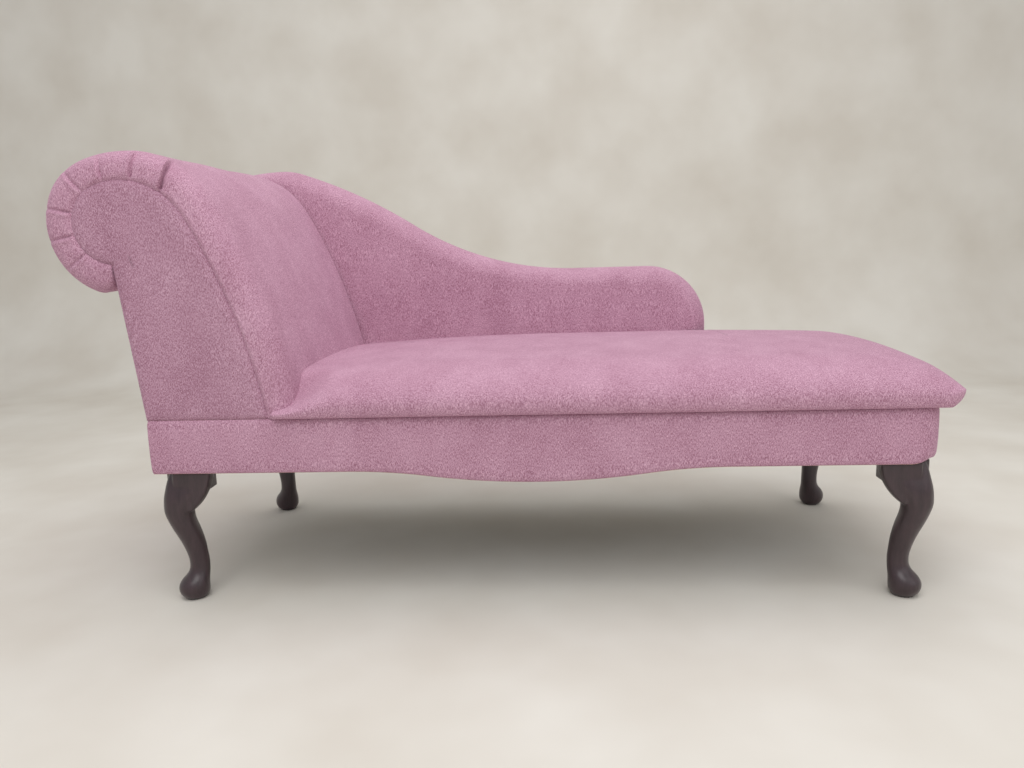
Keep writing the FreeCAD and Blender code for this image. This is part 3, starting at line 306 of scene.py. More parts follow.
def makeWood(name, dark, light, roughness, coat, grain=(9.0, 9.0, 1.2)):
    material, tree, surface = newMaterial(name)
    place = tree.nodes.new("ShaderNodeTexCoord").outputs["Object"]
    rings = noiseValue(tree, mapped(tree, place, grain), 14.0, 5.0, 0.6)
    fine = noiseValue(tree, mapped(tree, place, tuple(g * 4 for g in grain)), 22.0, 3.0, 0.6)
    share = calc(tree, "ADD", calc(tree, "MULTIPLY", rings, 0.65), calc(tree, "MULTIPLY", fine, 0.35))
    colour = mixColour(tree, spread(tree, share, 0.35, 0.65), linear(*dark), linear(*light))
    tree.links.new(colour, surface.inputs["Base Color"])
    tree.links.new(spread(tree, fine, 0.3, 0.7, roughness - 0.05, roughness + 0.08),
                   surface.inputs["Roughness"])
    surface.inputs["Coat Weight"].default_value = coat
    surface.inputs["Coat Roughness"].default_value = 0.28
    bump = addNode(tree, "ShaderNodeBump", Strength=0.12, Distance=0.0006)
    tree.links.new(fine, bump.inputs["Height"])
    tree.links.new(bump.outputs["Normal"], surface.inputs["Normal"])
    return material


def makeMottled(name, dark, light, roughness, scale, metallic=0.0, bumpStrength=0.2):
    material, tree, surface = newMaterial(name)
    place = tree.nodes.new("ShaderNodeTexCoord").outputs["Object"]
    mottle = noiseValue(tree, place, scale, 3.0, 0.6)
    tree.links.new(mixColour(tree, spread(tree, mottle, 0.3, 0.7), linear(*dark), linear(*light)),
                   surface.inputs["Base Color"])
    surface.inputs["Roughness"].default_value = roughness
    surface.inputs["Metallic"].default_value = metallic
    bump = addNode(tree, "ShaderNodeBump", Strength=bumpStrength, Distance=0.0008)
    tree.links.new(mottle, bump.inputs["Height"])
    tree.links.new(bump.outputs["Normal"], surface.inputs["Normal"])
    return material


chenille = makeFabric("chenille", fabricLook)
# the same chenille made a tenth darker for the scroll's front facing: painted shade
chenilleFacingPaintedShade = makeFabric("chenilleFacingPaintedShade", fabricLook, paintedShadeFactor=0.9)
legWood = makeWood("legWood", (42, 27, 32), (62, 43, 49), 0.36, 0.35)
plywood = makeWood("plywood", (176, 140, 98), (206, 172, 128), 0.7, 0.0, (1.2, 9.0, 9.0))
softwood = makeWood("softwood", (196, 160, 112), (222, 190, 142), 0.75, 0.0, (9.0, 1.2, 9.0))
foamLook = makeMottled("foamFill", (226, 216, 186), (244, 238, 214), 0.95, 700.0)
webbingLook = makeMottled("webbingWeave", (38, 38, 42), (70, 68, 74), 0.8, 900.0)
clothLook = makeMottled("underCloth", (14, 14, 15), (34, 34, 36), 0.95, 800.0)
steelLook = makeMottled("zincSteel", (140, 142, 148), (176, 178, 184), 0.38, 300.0, 1.0, 0.05)
nodeLooks = {"rose_chenille": chenille, "dark_wood": legWood, "plywood": plywood, "softwood": softwood,
             "foam": foamLook, "webbing": webbingLook, "black_cloth": clothLook, "steel": steelLook}
print("materials made")


# Scroll: wooden outline of the head end and the arcs round it

scroll = {
    "depth": 0.224, "lean": 9.1, "backRadius": 1.140, "backSweep": 19.0,
    "shoulderRadius": 0.126, "shoulderSweep": 81.0, "noseRadius": 0.070, "noseStop": 265.0,
    "spacing": 0.0013,
}


def scrollChain():
    noseSweep = scroll["noseStop"] - scroll["lean"] - scroll["backSweep"] - scroll["shoulderSweep"]
    runs = [(scroll["backRadius"], scroll["backSweep"]), (scroll["shoulderRadius"], scroll["shoulderSweep"]),
            (scroll["noseRadius"], noseSweep)]
    start = (headEnd + scroll["depth"], railTop)
    return arcChain(start, 90 + scroll["lean"], runs, scroll["spacing"])


headPad = {
    # inside of the head, top of the roll and its outer side: lip, full thickness and round edge
    "lip": (0.013, 0.020, 0.024), "edge": (0.048, 0.052, 0.056), "round": (0.050, 0.036, 0.024),
    # turns round the scroll, in degrees, between which the sizes go over from one to the next
    "toTop": (20, 70), "toOutside": (90, 150),
    "backSwell": 0.020, "insideSwell": 0.002, "rearRound": 0.012, "crease": 0.010, "rearGap": 0.0012,
    "lipSwell": 0.0016, "seamLength": 0.011, "borderDepth": 0.1, "leanLength": 0.06, "noseFrom": 110,
    "pleatAngles": (55, 79, 101, 129, 163.5, 194.5, 224),
    "pleatDepths": (0.0125, 0.0085, 0.0045, 0.0055, 0.0060, 0.0060, 0.0055),
    "pleatLengths": (0.085, 0.070, 0.050, 0.060, 0.060, 0.060, 0.055),
    "pleatLeans": (6, 1, 0, 3, 3, -2, -5),
    "pleatWidth": 0.0024, "endRound": 0.020,
}


def padMeasure(key, angle):
    inside, top, outside = headPad[key]
    toTop, toOutside = ease(angle, *headPad["toTop"]), ease(angle, *headPad["toOutside"])
    return inside + (top - inside) * toTop + (outside - top) * toOutside


def padThickness(y, angle):
    # padding grows towards the rear and low down on the inside of the head
    front = frontFace + headPad["round"][0]
    depthShare = min(max((y - front) / (backFace - front), 0), 1)
    shoulderEnd = scroll["lean"] + scroll["backSweep"] + scroll["shoulderSweep"]
    inside = 1 - ease(angle, scroll["lean"] + 6, shoulderEnd)
    outside = ease(angle, *headPad["toOutside"]) * ease(y, frontFace + 0.03, frontFace + 0.15)
    full = padMeasure("edge", angle) + inside * (headPad["backSwell"] * depthShare + headPad["insideSwell"])
    return full - outside * (headPad["edge"][2] - headPad["edge"][0])


def padCrossSection(angle):
    # (share of the thickness, distance behind the front face) from the seam round to the rear crease
    lipShare = padMeasure("lip", angle) / padMeasure("edge", angle)
    bend = padMeasure("round", angle)
    section = [(-0.06, 0.0028), (-0.02, 0.0028), (0.0, 0.0027), (0.02, 0.0020), (0.06, 0.0002)]
    section += [(0.06 + (lipShare - 0.06) * share, -headPad["lipSwell"] * math.sin(math.pi * share))
                for share in (0.25, 0.5, 0.75)]
    for step in range(15):
        turn = math.pi / 2 * step / 14
        section.append((lipShare + (1 - lipShare) * math.sin(turn), bend * (1 - math.cos(turn))))
    depth = backFace - frontFace
    flat = depth - bend - headPad["rearRound"]
    for step in range(1, 61):
        section.append((1.0, bend + flat * step / 61))
    rearGap = headPad["rearGap"]
    for step in range(7):
        turn = math.pi / 2 * step / 6
        section.append((1.0 - headPad["crease"] / headPad["edge"][0] * (1 - math.cos(turn)),
                        depth - headPad["rearRound"] + (headPad["rearRound"] - rearGap) * math.sin(turn)))
    section += [(0.5, depth - rearGap), (0.1, depth - rearGap), (0.01, depth - 0.003)]
    for step in range(1, 12):
        section.append((0.01, depth - (depth - 0.02) * step / 12))
    section.append((-0.04, 0.014))
    return section


def pleatAt(angle, reach, distance):
    # how far the pad's surface sinks in the pleats that gather the border round the scroll
    sink = 0
    distance = max(distance, 0)
    for centre, deep, length, lean in zip(headPad["pleatAngles"], headPad["pleatDepths"],
                                          headPad["pleatLengths"], headPad["pleatLeans"]):
        radius = scroll["noseRadius"] if centre > headPad["noseFrom"] else scroll["shoulderRadius"]
        turn = angle - centre - lean * distance / headPad["leanLength"]
        across = math.radians(turn) * (radius + reach)
        along = (1 - ease(distance, length * 0.5, length)) * (0.3 + 0.7 * ease(distance, 0, 0.004))
        groove = bell(across, 0, headPad["pleatWidth"])
        fold = 0.45 * bell(across, 0.006, 0.0045)
        hollow = 0.3 * bell(across, -0.002, 0.012)
        sink += deep * along * (groove + hollow - fold)
    return sink


def makeHeadPad():
    points, normals, stops = scrollChain()
    rows = []
    for index, ((px, pz), (nx, nz)) in enumerate(zip(points, normals)):
        angle = math.degrees(math.atan2(nz, nx)) % 360
        # the pad gets thinner over the last bit of the nose
        toEnd = np.linalg.norm(points[-1] - points[index]) if index > stops[2] + 60 else 1
        shrink = 1 - 0.30 * (1 - min(toEnd / headPad["endRound"], 1)) ** 2
        row = []
        border = 0
        previous = None
        for share, behind in padCrossSection(angle):
            y = frontFace + behind
            thick = padThickness(y, angle) * shrink
            reach = share * thick
            if previous is not None:
                border += math.hypot(reach - previous[0], behind - previous[1])
            previous = (reach, behind)
            if share > 0 and behind < headPad["borderDepth"]:
                sink = pleatAt(angle, reach, border - headPad["seamLength"])
                reach -= sink * min(1, share * 1.3 + 0.2)
                y += sink * max(0, 1 - share) * 1.2
            if share >= 1.0:
                reach += softNoise(px, y, pz, 9, 0.0016) + softNoise(px, y, pz, 34, 0.0004)
            row.append((px + nx * reach, y, pz + nz * reach))
        rows.append(row)
    low = [[(x, y, min(z, railTop + 0.0008)) for x, y, z in row] for row in rows[:1]]
    piece = gridPiece("head_pad", low + rows, caps=True)
    return finishPiece(piece, chenille, "rose_chenille", "head_cover", "head_foam", fill=0.9)


facing = {
    "puff": 0.0046, "edge": 0.008, "tuck": 0.0022, "bow": 0.0024, "gap": 0.0003, "thickness": 0.001,
    # middle line that the cloth is drawn towards, from the head end and the rails
    "low": (0.055, 0.12), "high": (-0.014, 0.345), "steps": 26,
}


def makeHeadFacing():
    # the flat front of the scroll, slightly wadded, its edge tucked against the rolled border
    points, normals, _ = scrollChain()
    outline = [tuple(p - n * facing["gap"]) for p, n in zip(points, normals)]
    tail = outline[-1]
    foot = (headEnd + 0.0004, railTop)
    side = [(tail[0] + (foot[0] - tail[0]) * s / 60 + facing["bow"] * math.sin(math.pi * s / 60),
             tail[1] + (foot[1] - tail[1]) * s / 60) for s in range(1, 61)]
    sill = [(foot[0] + (outline[0][0] - foot[0]) * s / 50, railTop) for s in range(1, 50)]
    ring = np.array(outline + side + sill)
    lowX, lowZ = headEnd + facing["low"][0], railTop + facing["low"][1]
    highX, highZ = headEnd + facing["high"][0], railTop + facing["high"][1]
    face = frontFace + facing["tuck"]
    rows = []
    for step in range(facing["steps"] + 1):
        away = 1 - step / facing["steps"]
        row = []
        for x, z in ring:
            level = min(max((z - railTop) / 0.36, 0), 1)
            if away == 0:
                level = round(level * 60) / 60
            cx = lowX + (highX - lowX) * level
            cz = lowZ + (highZ - lowZ) * level
            sx, sz = cx + (x - cx) * away, cz + (z - cz) * away
            inset = math.hypot(x - sx, z - sz)
            puff = facing["puff"] * (1 - math.exp(-inset / facing["edge"]))
            row.append((sx, face - puff + softNoise(sx, 0, sz, 14, 0.0005), sz))
        rows.append(row)
    back = [[(x, face + facing["thickness"], z) for x, z in ring]]
    piece = gridPiece("head_facing_fabric", back + rows)
    # its cloth is the chenille darkened by a tenth, which is painted shade
    return finishPiece(piece, chenilleFacingPaintedShade, "rose_chenille", "head_facing")


def fanClosed(piece):
    shape = bmesh.new()
    shape.from_mesh(piece.data)
    bmesh.ops.remove_doubles(shape, verts=shape.verts, dist=0.00002)
    edges = [e for e in shape.edges if e.is_boundary]
    bmesh.ops.holes_fill(shape, edges=edges, sides=0)
    bmesh.ops.recalc_face_normals(shape, faces=shape.faces)
    shape.to_mesh(piece.data)
    shape.free()
    smooth(piece)


# Low back

lowBack = {
    "thickness": 0.093, "round": 0.044, "inset": 0.046, "crownSlope": 19.0, "crownRadius": 0.500,
    "hip": (0.133, 18.4), "sweep": (1.151, 14.6), "valley": (0.7015, 33.0), "ridge": 0.170,
    "end": (0.1385, 90.0),
    "noseReach": 0.116, "noseBegin": 272, "puff": 0.006, "spacing": 0.006,
    "footSteps": 24, "roundSteps": 24, "faceSteps": 30,
}


def noseCentre():
    points, normals, _ = scrollChain()
    (x, z), (nx, nz) = points[-1], normals[-1]
    return x - nx * scroll["noseRadius"], z - nz * scroll["noseRadius"]


def backChain():
    # from under the nose, clockwise over the crown and down to the foot
    cx, cz = noseCentre()
    begin = math.radians(lowBack["noseBegin"])
    reach = lowBack["noseReach"]
    start = (cx + math.cos(begin) * reach, cz + math.sin(begin) * reach)
    heading = lowBack["noseBegin"] - 90
    runs = [(reach, lowBack["crownSlope"] - heading), (lowBack["crownRadius"], -lowBack["crownSlope"]),
            (lowBack["hip"][0], -lowBack["hip"][1]), (lowBack["sweep"][0], -lowBack["sweep"][1]),
            (lowBack["valley"][0], lowBack["valley"][1]), (0, lowBack["ridge"]),
            (lowBack["end"][0], -lowBack["end"][1])]
    points, normals, _ = arcChain(start, heading, runs, lowBack["spacing"])
    tail = points[-1]
    count = lowBack["footSteps"]
    low = [(tail[0], tail[1] + (railTop + 0.001 - tail[1]) * s / count) for s in range(1, count + 1)]
    points = np.vstack([points, low])
    normals = np.vstack([-normals, np.tile([1.0, 0.0], (count, 1))])
    return points, normals


def makeLowBack():
    points, normals = backChain()
    half = lowBack["thickness"] / 2
    seam = lowBack["inset"]
    hem = railTop + 0.001
    rows = []
    bottomFrom, bottomTo = headEnd + 0.02, points[:, 0].max() - lowBack["round"]
    count = len(points)
    lengths = np.concatenate([[0], np.cumsum(np.linalg.norm(np.diff(points, axis=0), axis=1))])
    for index, ((px, pz), (nx, nz)) in enumerate(zip(points, normals)):
        # from the rear panel's seam over the round edge to the front face
        row = [(seam - 0.002, rearFace - 0.006), (seam - 0.003, rearFace - 0.001)]
        for step in range(lowBack["roundSteps"] + 1):
            turn = math.pi * step / lowBack["roundSteps"]
            inset = lowBack["round"] * (1 - math.sin(turn))
            behind = half + half * math.cos(turn)
            row.append((inset, backFace + behind))
        placed = [(px - nx * inset, y, pz - nz * inset) for inset, y in row]
        topX, _, topZ = placed[-1]
        # down the front face to the seat
        share = lengths[index] / lengths[-1]
        targetX = bottomFrom + (bottomTo - bottomFrom) * ease(share, 0.12, 0.98)
        if index >= count - lowBack["footSteps"]:
            targetX = bottomTo
        for step in range(1, lowBack["faceSteps"] + 1):
            part = step / lowBack["faceSteps"]
            x = topX + (targetX - topX) * part
            z = topZ + (hem - topZ) * part
            inset = math.hypot(x - px, z - pz)
            puff = lowBack["puff"] * (1 - math.exp(-max(inset - lowBack["round"], 0) / 0.06))
            puff *= 1 - 0.6 * ease(part, 0.5, 1.0)
            wave = softNoise(x, 0.3, z, 7, 0.0016)
            placed.append((x, backFace - puff * 0.5 + wave * min(puff / 0.003, 1), z))
        placed.append((placed[-1][0], backFace + 0.03, hem))
        placed.append((px - nx * 0.045, backFace + 0.06, pz - nz * 0.045))
        rows.append(placed)
    piece = gridPiece("low_back_pad", rows, caps=True)
    return finishPiece(piece, chenille, "rose_chenille", "backrest_cover", "backrest_foam", fill=0.9)


def makeRearPanel():
    points, normals = backChain()
    ring = [tuple(p - n * lowBack["inset"]) for p, n in zip(points, normals)]
    startX, startZ = ring[0]
    endX = ring[-1][0]
    ring += [(endX + (headEnd - endX) * s / 120, railTop) for s in range(1, 120)]
    ring += [(headEnd + (startX - headEnd) * s / 30, railTop + (startZ - railTop) * s / 30)
             for s in range(30)]
    outline = np.array(ring)
    ahead, behind = np.roll(outline, -1, axis=0), np.roll(outline, 1, axis=0)
    area = np.sum(outline[:, 0] * ahead[:, 1] - outline[:, 1] * ahead[:, 0])
    along = (ahead - behind) / np.linalg.norm(ahead - behind, axis=1)[:, None]
    inward = np.stack([-along[:, 1], along[:, 0]], axis=1) * math.copysign(1, area)
    rows = []
    for inset, lift in ((0.0, 0.0), (0.0008, 0.0012), (0.0022, 0.0022), (0.0045, 0.0028)):
        rows.append([(x, rearFace - 0.0012 + lift, z) for x, z in outline + inward * inset])
    back = [[(x, rearFace - 0.0028, z) for x, z in ring]]
    piece = gridPiece("rear_panel_fabric", back + rows)
    return finishPiece(piece, chenille, "rose_chenille", "rear_cover")


# Seat

seat = {
    "crown": 0.099, "lip": 0.022, "bulge": 0.017, "bottomSide": 0.008, "footBulge": 0.032,
    "bottomFoot": 0.008,
    "corner": 0.036, "sideRoll": 0.110, "sideShare": 0.72, "footRoll": 0.090, "footShare": 0.80,
    "footRun": 0.480, "headReach": 0.268, "headDrop": 0.24, "headRun": 0.45, "tuckRun": 0.115,
    "tuckDepth": 0.78, "spacing": 0.006, "hemGap": 0.0012, "lipSteps": 10, "domeSteps": 70,
}


def rollUp(inward, roll, share, run):
    # height share of a rounded edge that goes over into a slow dome
    edge = math.sqrt(1 - (1 - min(inward / roll, 1)) ** 2)
    dome = 1 - (1 - min(inward / run, 1)) ** 2
    return share * edge + (1 - share) * dome


def seatHeight(x, y):
    half = rearFace + seat["bulge"]
    across = rollUp(max(half - abs(y), 0), seat["sideRoll"], seat["sideShare"], half)
    toFoot = max(footEnd + seat["footBulge"] - x, 0)
    along = rollUp(toFoot, seat["footRoll"], seat["footShare"], seat["footRun"])
    fromHead = x - headEnd - seat["headReach"]
    head = 1 - seat["headDrop"] * (1 - min(max(fromHead / seat["headRun"], 0), 1)) ** 2
    cornerway = math.hypot(max(fromHead + 0.03, 0), max(y + half - 0.02, 0) * 1.1)
    tuck = 1 - seat["tuckDepth"] * (1 - ease(cornerway, 0.0, seat["tuckRun"]))
    dome = (seat["crown"] - seat["lip"]) * across * along * head * tuck
    return seat["lip"] * (0.3 + 0.7 * tuck) + dome


def makeSeat():
    # a closed dome: rings of the plan outline, from the hem up over the lip and in to the middle
    half = rearFace + seat["bulge"]
    right = footEnd + seat["footBulge"]
    left = headEnd + scroll["depth"] + 0.012
    corner = seat["corner"]
    ring = []

    def addLine(a, b):
        count = max(2, round(math.dist(a, b) / seat["spacing"]))
        ring.extend((a[0] + (b[0] - a[0]) * s / count, a[1] + (b[1] - a[1]) * s / count)
                    for s in range(count))

    def addArc(cx, cy, begin):
        count = round(corner * math.pi / 2 / seat["spacing"])
        ring.extend((cx + corner * math.cos(math.radians(begin + 90 * s / count)),
                     cy + corner * math.sin(math.radians(begin + 90 * s / count))) for s in range(count))

    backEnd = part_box("backrest_cover")[1].x + 0.002
    addLine((left, -half), (right - corner, -half))
    addArc(right - corner, -half + corner, -90)
    addLine((right, -half + corner), (right, half - corner))
    addArc(right - corner, half - corner, 0)
    addLine((right - corner, half), (backEnd, half))
    addLine((backEnd, half), (backEnd, backFace - 0.002))
    addLine((backEnd, backFace - 0.002), (left, backFace - 0.002))
    addLine((left, backFace - 0.002), (left, -half))
    ring = np.array(ring)
    middle = (left + right) / 2
    hem = railTop + seat["hemGap"]
    side = seat["bulge"] - seat["bottomSide"]
    foot = seat["footBulge"] - seat["bottomFoot"]
    rows = []
    for level in range(seat["lipSteps"] + 1):
        turn = math.pi / 2 * level / seat["lipSteps"]
        sink = 1 - math.sin(turn)
        row = []
        for x, y in ring:
            moveX = -foot * ease(x, right - corner, right) * sink
            moveY = -math.copysign(side, y) * sink if abs(y) > half - corner else 0
            besideBack = backFace < y < half - 0.01 and x < right - 0.1
            rise = (seatHeight(x, y) - seat["hemGap"]) * (1 - math.cos(turn))
            row.append((x + moveX, y if besideBack else y + moveY, hem + rise))
        rows.append(row)
    for step in range(1, seat["domeSteps"] + 1):
        share = (step / seat["domeSteps"]) ** 1.8
        row = []
        for x, y in ring:
            sx = x + (min(max(x, left + 0.3), right - 0.3) - x) * share
            if step == seat["domeSteps"]:
                sx = round(sx / seat["spacing"]) * seat["spacing"]
            sy = y * (1 - share)
            wave = softNoise(sx, sy, 0, 6, 0.0012) * min(share * 6, 1)
            row.append((sx, sy, railTop + seatHeight(sx, sy) + wave))
        rows.append(row)
    under = [[(x * 0.98 + middle * 0.02, y * 0.95, hem) for x, y, _ in rows[0]]]
    piece = gridPiece("seat_pad", under + rows)
    fanClosed(piece)
    return finishPiece(piece, chenille, "rose_chenille", "seat_cover", "seat_foam", fill=0.85)


# Base covers

baseFabric = {
    "dip": 0.023, "half": 0.340, "belly": 1.450, "corner": 0.042, "footLift": 0.024,
    "wrap": 0.016, "thickness": 0.0028, "spacing": 0.008, "headCorner": 0.004, "puff": 0.0012,
    "hemRound": 0.004,
}


def apronDip(x):
    middle = (headEnd + footEnd) / 2
    away = abs(x - middle)
    turn = 2 * math.atan(baseFabric["dip"] / baseFabric["half"])
    side = baseFabric["half"] / math.sin(turn) - baseFabric["belly"]
    bend = baseFabric["belly"] * math.sin(turn)
    if away > baseFabric["half"]:
        return 0.0
    if away < bend:
        return baseFabric["dip"] - (baseFabric["belly"] - math.sqrt(baseFabric["belly"] ** 2 - away ** 2))
    return side - math.sqrt(side ** 2 - (baseFabric["half"] - away) ** 2)


def cornerLift(x, y):
    # the rounded underside of the two foot corners, square to their diagonal
    corner, lift = baseFabric["corner"], baseFabric["footLift"]
    out = (x - footEnd + abs(y) - rearFace + 2 * corner) * math.sqrt(0.5) - (corner - lift)
    return lift - math.sqrt(max(lift ** 2 - out ** 2, 0)) if out > 0 else 0.0


def makeBaseFabric():
    corner = baseFabric["corner"]
    ring = []

    def addLine(a, b, spacing):
        count = max(2, round(math.dist(a, b) / spacing))
        normal = ((b[1] - a[1]) / math.dist(a, b), -(b[0] - a[0]) / math.dist(a, b))
        ring.extend((a[0] + (b[0] - a[0]) * s / count, a[1] + (b[1] - a[1]) * s / count, *normal)
                    for s in range(count))

    def addArc(cx, cy, radius, begin):
        count = max(4, round(radius * math.pi / 2 / 0.005))
        for s in range(count):
            turn = math.radians(begin + 90 * s / count)
            nx, ny = math.cos(turn), math.sin(turn)
            ring.append((cx + radius * nx, cy + radius * ny, nx, ny))

    tight = baseFabric["headCorner"]
    spacing = baseFabric["spacing"]
    addLine((headEnd + tight, frontFace), (footEnd - corner, frontFace), spacing)
    addArc(footEnd - corner, frontFace + corner, corner, -90)
    addLine((footEnd, frontFace + corner), (footEnd, rearFace - corner), spacing * 2)
    addArc(footEnd - corner, rearFace - corner, corner, 0)
    addLine((footEnd - corner, rearFace), (headEnd + tight, rearFace), spacing * 2)
    addArc(headEnd + tight, rearFace - tight, tight, 90)
    addLine((headEnd, rearFace - tight), (headEnd, frontFace + tight), spacing * 2)
    addArc(headEnd + tight, frontFace + tight, tight, 180)
    rows = []
    thick, wrap, puff, hem = (baseFabric[key] for key in ("thickness", "wrap", "puff", "hemRound"))
    for x, y, nx, ny in ring:
        low = railBottom
        if y < frontFace + 0.001:
            low -= apronDip(x)
        # (out from the rail, height) from under the rail up the outside, over the top and back inside
        row = [
            (-wrap, low - 0.0003), (-hem, low - 0.0003), (-hem * 0.4, low + hem * 0.25),
            (-0.0002, low + hem),
            (puff * 0.5, low + 0.012), (puff, low + 0.03), (puff, railTop - 0.03),
            (puff * 0.6, railTop - 0.010), (-0.0005, railTop - 0.003), (-0.0020, railTop - 0.0004),
            (-0.012, railTop - 0.0004), (-0.012, railTop - 0.004), (-thick, railTop - 0.006),
            (-thick, low + 0.006), (-wrap, low + 0.0012),
        ]
        places = [(x + nx * d, y + ny * d, z) for d, z in row]
        rows.append([(px, py, z + cornerLift(px, py) * (1 - ease(z - low, 0.002, 0.07)))
                     for px, py, z in places])
    piece = gridPiece("base_fabric", rows, wrapRows=True)
    return finishPiece(piece, chenille, "rose_chenille", "front_rail_cover", "rear_rail_cover",
                       "head_rail_cover", "foot_rail_cover")


outsideCover = {"height": 0.262, "edgeGap": 0.0025, "puff": 0.002, "across": 40, "up": 30}


def makeOutsideHead():
    # fabric on the outside of the scroll, from the rails up under the roll
    tail = scrollChain()[0][-1]
    top = railTop + outsideCover["height"]
    gap, across = outsideCover["edgeGap"], outsideCover["across"]
    rows = []
    for step in range(across + 1):
        y = frontFace + gap + (rearFace - frontFace - gap * 2) * step / across
        edge = min(step, across - step) / across
        row = []
        for level in range(outsideCover["up"] + 1):
            share = level / outsideCover["up"]
            z = railTop + (top - railTop) * share
            x = headEnd + (tail[0] - headEnd) * (z - railTop) / (tail[1] - railTop)
            bulge = min(1, edge * 12) * math.sin(math.pi * min(max(share, 0.04), 0.96))
            puff = outsideCover["puff"] * bulge
            row.append((x + 0.0004 - puff, y, z))
        row += [(x + 0.004, y, z) for x, _, z in (row[-1], row[0])]
        rows.append(row)
    piece = gridPiece("outside_head_fabric", rows, caps=True)
    return finishPiece(piece, chenille, "rose_chenille", "outside_head_cover")


# Cabriole legs

cabriole = {
    # height, near faces' inset, width, share of the width that is rounded
    "levels": (
        (0.2538, 0.020, 0.062, 0.20), (0.238, 0.014, 0.067, 0.24), (0.222, 0.009, 0.069, 0.30),
        (0.204, 0.005, 0.066, 0.36), (0.188, 0.004, 0.058, 0.40), (0.174, 0.005, 0.050, 0.42),
        (0.156, 0.009, 0.047, 0.44), (0.138, 0.014, 0.046, 0.46), (0.120, 0.020, 0.043, 0.47),
        (0.103, 0.025, 0.040, 0.48), (0.086, 0.029, 0.037, 0.49), (0.070, 0.031, 0.036, 0.50),
        (0.056, 0.030, 0.037, 0.50), (0.046, 0.025, 0.042, 0.50), (0.037, 0.017, 0.050, 0.50),
        (0.028, 0.012, 0.055, 0.50), (0.019, 0.011, 0.056, 0.50), (0.011, 0.013, 0.053, 0.50),
        (0.005, 0.017, 0.046, 0.50), (0.0, 0.023, 0.035, 0.50),
    ),
    "earRadius": 0.107, "earInset": 0.010, "earThickness": 0.026, "voxel": 0.0021,
    "blockNear": 0.026, "blockFar": 0.082, "blockHeight": 0.044,
}


def catmull(a, b, c, d, t):
    # smooth curve through b and c, with a and d as the neighbours
    return 0.5 * (2 * b + (c - a) * t + (2 * a - 5 * b + 4 * c - d) * t * t
                  + (3 * b - a - 3 * c + d) * t ** 3)


def legRows():
    levels = np.array(cabriole["levels"])
    fine = []
    for index in range(len(levels) - 1):
        a, b = levels[max(index - 1, 0)], levels[index]
        c, d = levels[index + 1], levels[min(index + 2, len(levels) - 1)]
        for step in range(4):
            fine.append(catmull(a, b, c, d, step / 4))
    fine.append(levels[-1])
    rows = []
    for height, inset, width, share in fine:
        radius = share * width
        centre = inset + width / 2
        flat = width / 2 - radius
        row = []
        for step in range(48):
            turn = 2 * math.pi * step / 48
            cx, cy = math.cos(turn), math.sin(turn)
            row.append((centre + math.copysign(flat, cx) * min(1, abs(cx) * 3) + radius * cx,
                        centre + math.copysign(flat, cy) * min(1, abs(cy) * 3) + radius * cy, height))
        rows.append(row)
    return rows


def earOutline():
    points = []
    centre = (-0.005, railBottom + 0.009)
    begin = math.asin(-0.0093 / cabriole["earRadius"])
    stop = math.atan2(0.178 - centre[1], 0.058 + 0.005)
    for step in range(17):
        turn = begin + (stop - begin) * step / 16
        points.append((centre[0] + cabriole["earRadius"] * math.cos(turn),
                       centre[1] + cabriole["earRadius"] * math.sin(turn)))
    points += [(0.040, 0.180), (0.030, 0.200), (0.030, railBottom - 0.0003)]
    return points


def makeLegMesh():
    body = gridPiece("legCurve", legRows(), caps=True)
    low, high = cabriole["earInset"], cabriole["earInset"] + cabriole["earThickness"]
    pieces = [body]
    for swap in (False, True):
        rows = []
        for depth, inset in ((low, 0.004), (low + 0.002, 0.001), (low + 0.006, 0), (high - 0.006, 0),
                             (high - 0.002, 0.001), (high, 0.004)):
            outline = earOutline()
            cx = sum(p[0] for p in outline) / len(outline)
            cz = sum(p[1] for p in outline) / len(outline)
            row = []
            for x, z in outline:
                reach = math.hypot(x - cx, z - cz)
                keep = 1 - inset / reach
                x = cx + (x - cx) * keep
                z = cz + (z - cz) * keep if z < railBottom - 0.001 else z
                row.append((depth, x, z) if swap else (x, depth, z))
            rows.append(row)
        pieces.append(gridPiece("legEar", rows, caps=True))
    near, far = cabriole["blockNear"], cabriole["blockFar"]
    rows = [[(near, near, z), (far, near, z), (far, far, z), (near, far, z)]
            for z in (railBottom - cabriole["blockHeight"], railBottom - 0.0003)]
    pieces.append(gridPiece("legBlock", rows, caps=True))
    bpy.ops.object.select_all(action="DESELECT")
    for piece in pieces:
        piece.select_set(True)
    bpy.context.view_layer.objects.active = body
    bpy.ops.object.join()
    remesh = body.modifiers.new("remesh", "REMESH")
    remesh.mode = "VOXEL"
    remesh.voxel_size = cabriole["voxel"]
    soften = body.modifiers.new("soften", "SMOOTH")
    soften.factor = 0.5
    soften.iterations = 6
    dressed = bpy.data.meshes.new_from_object(body.evaluated_get(bpy.context.evaluated_depsgraph_get()))
    bpy.data.objects.remove(body)
    return dressed


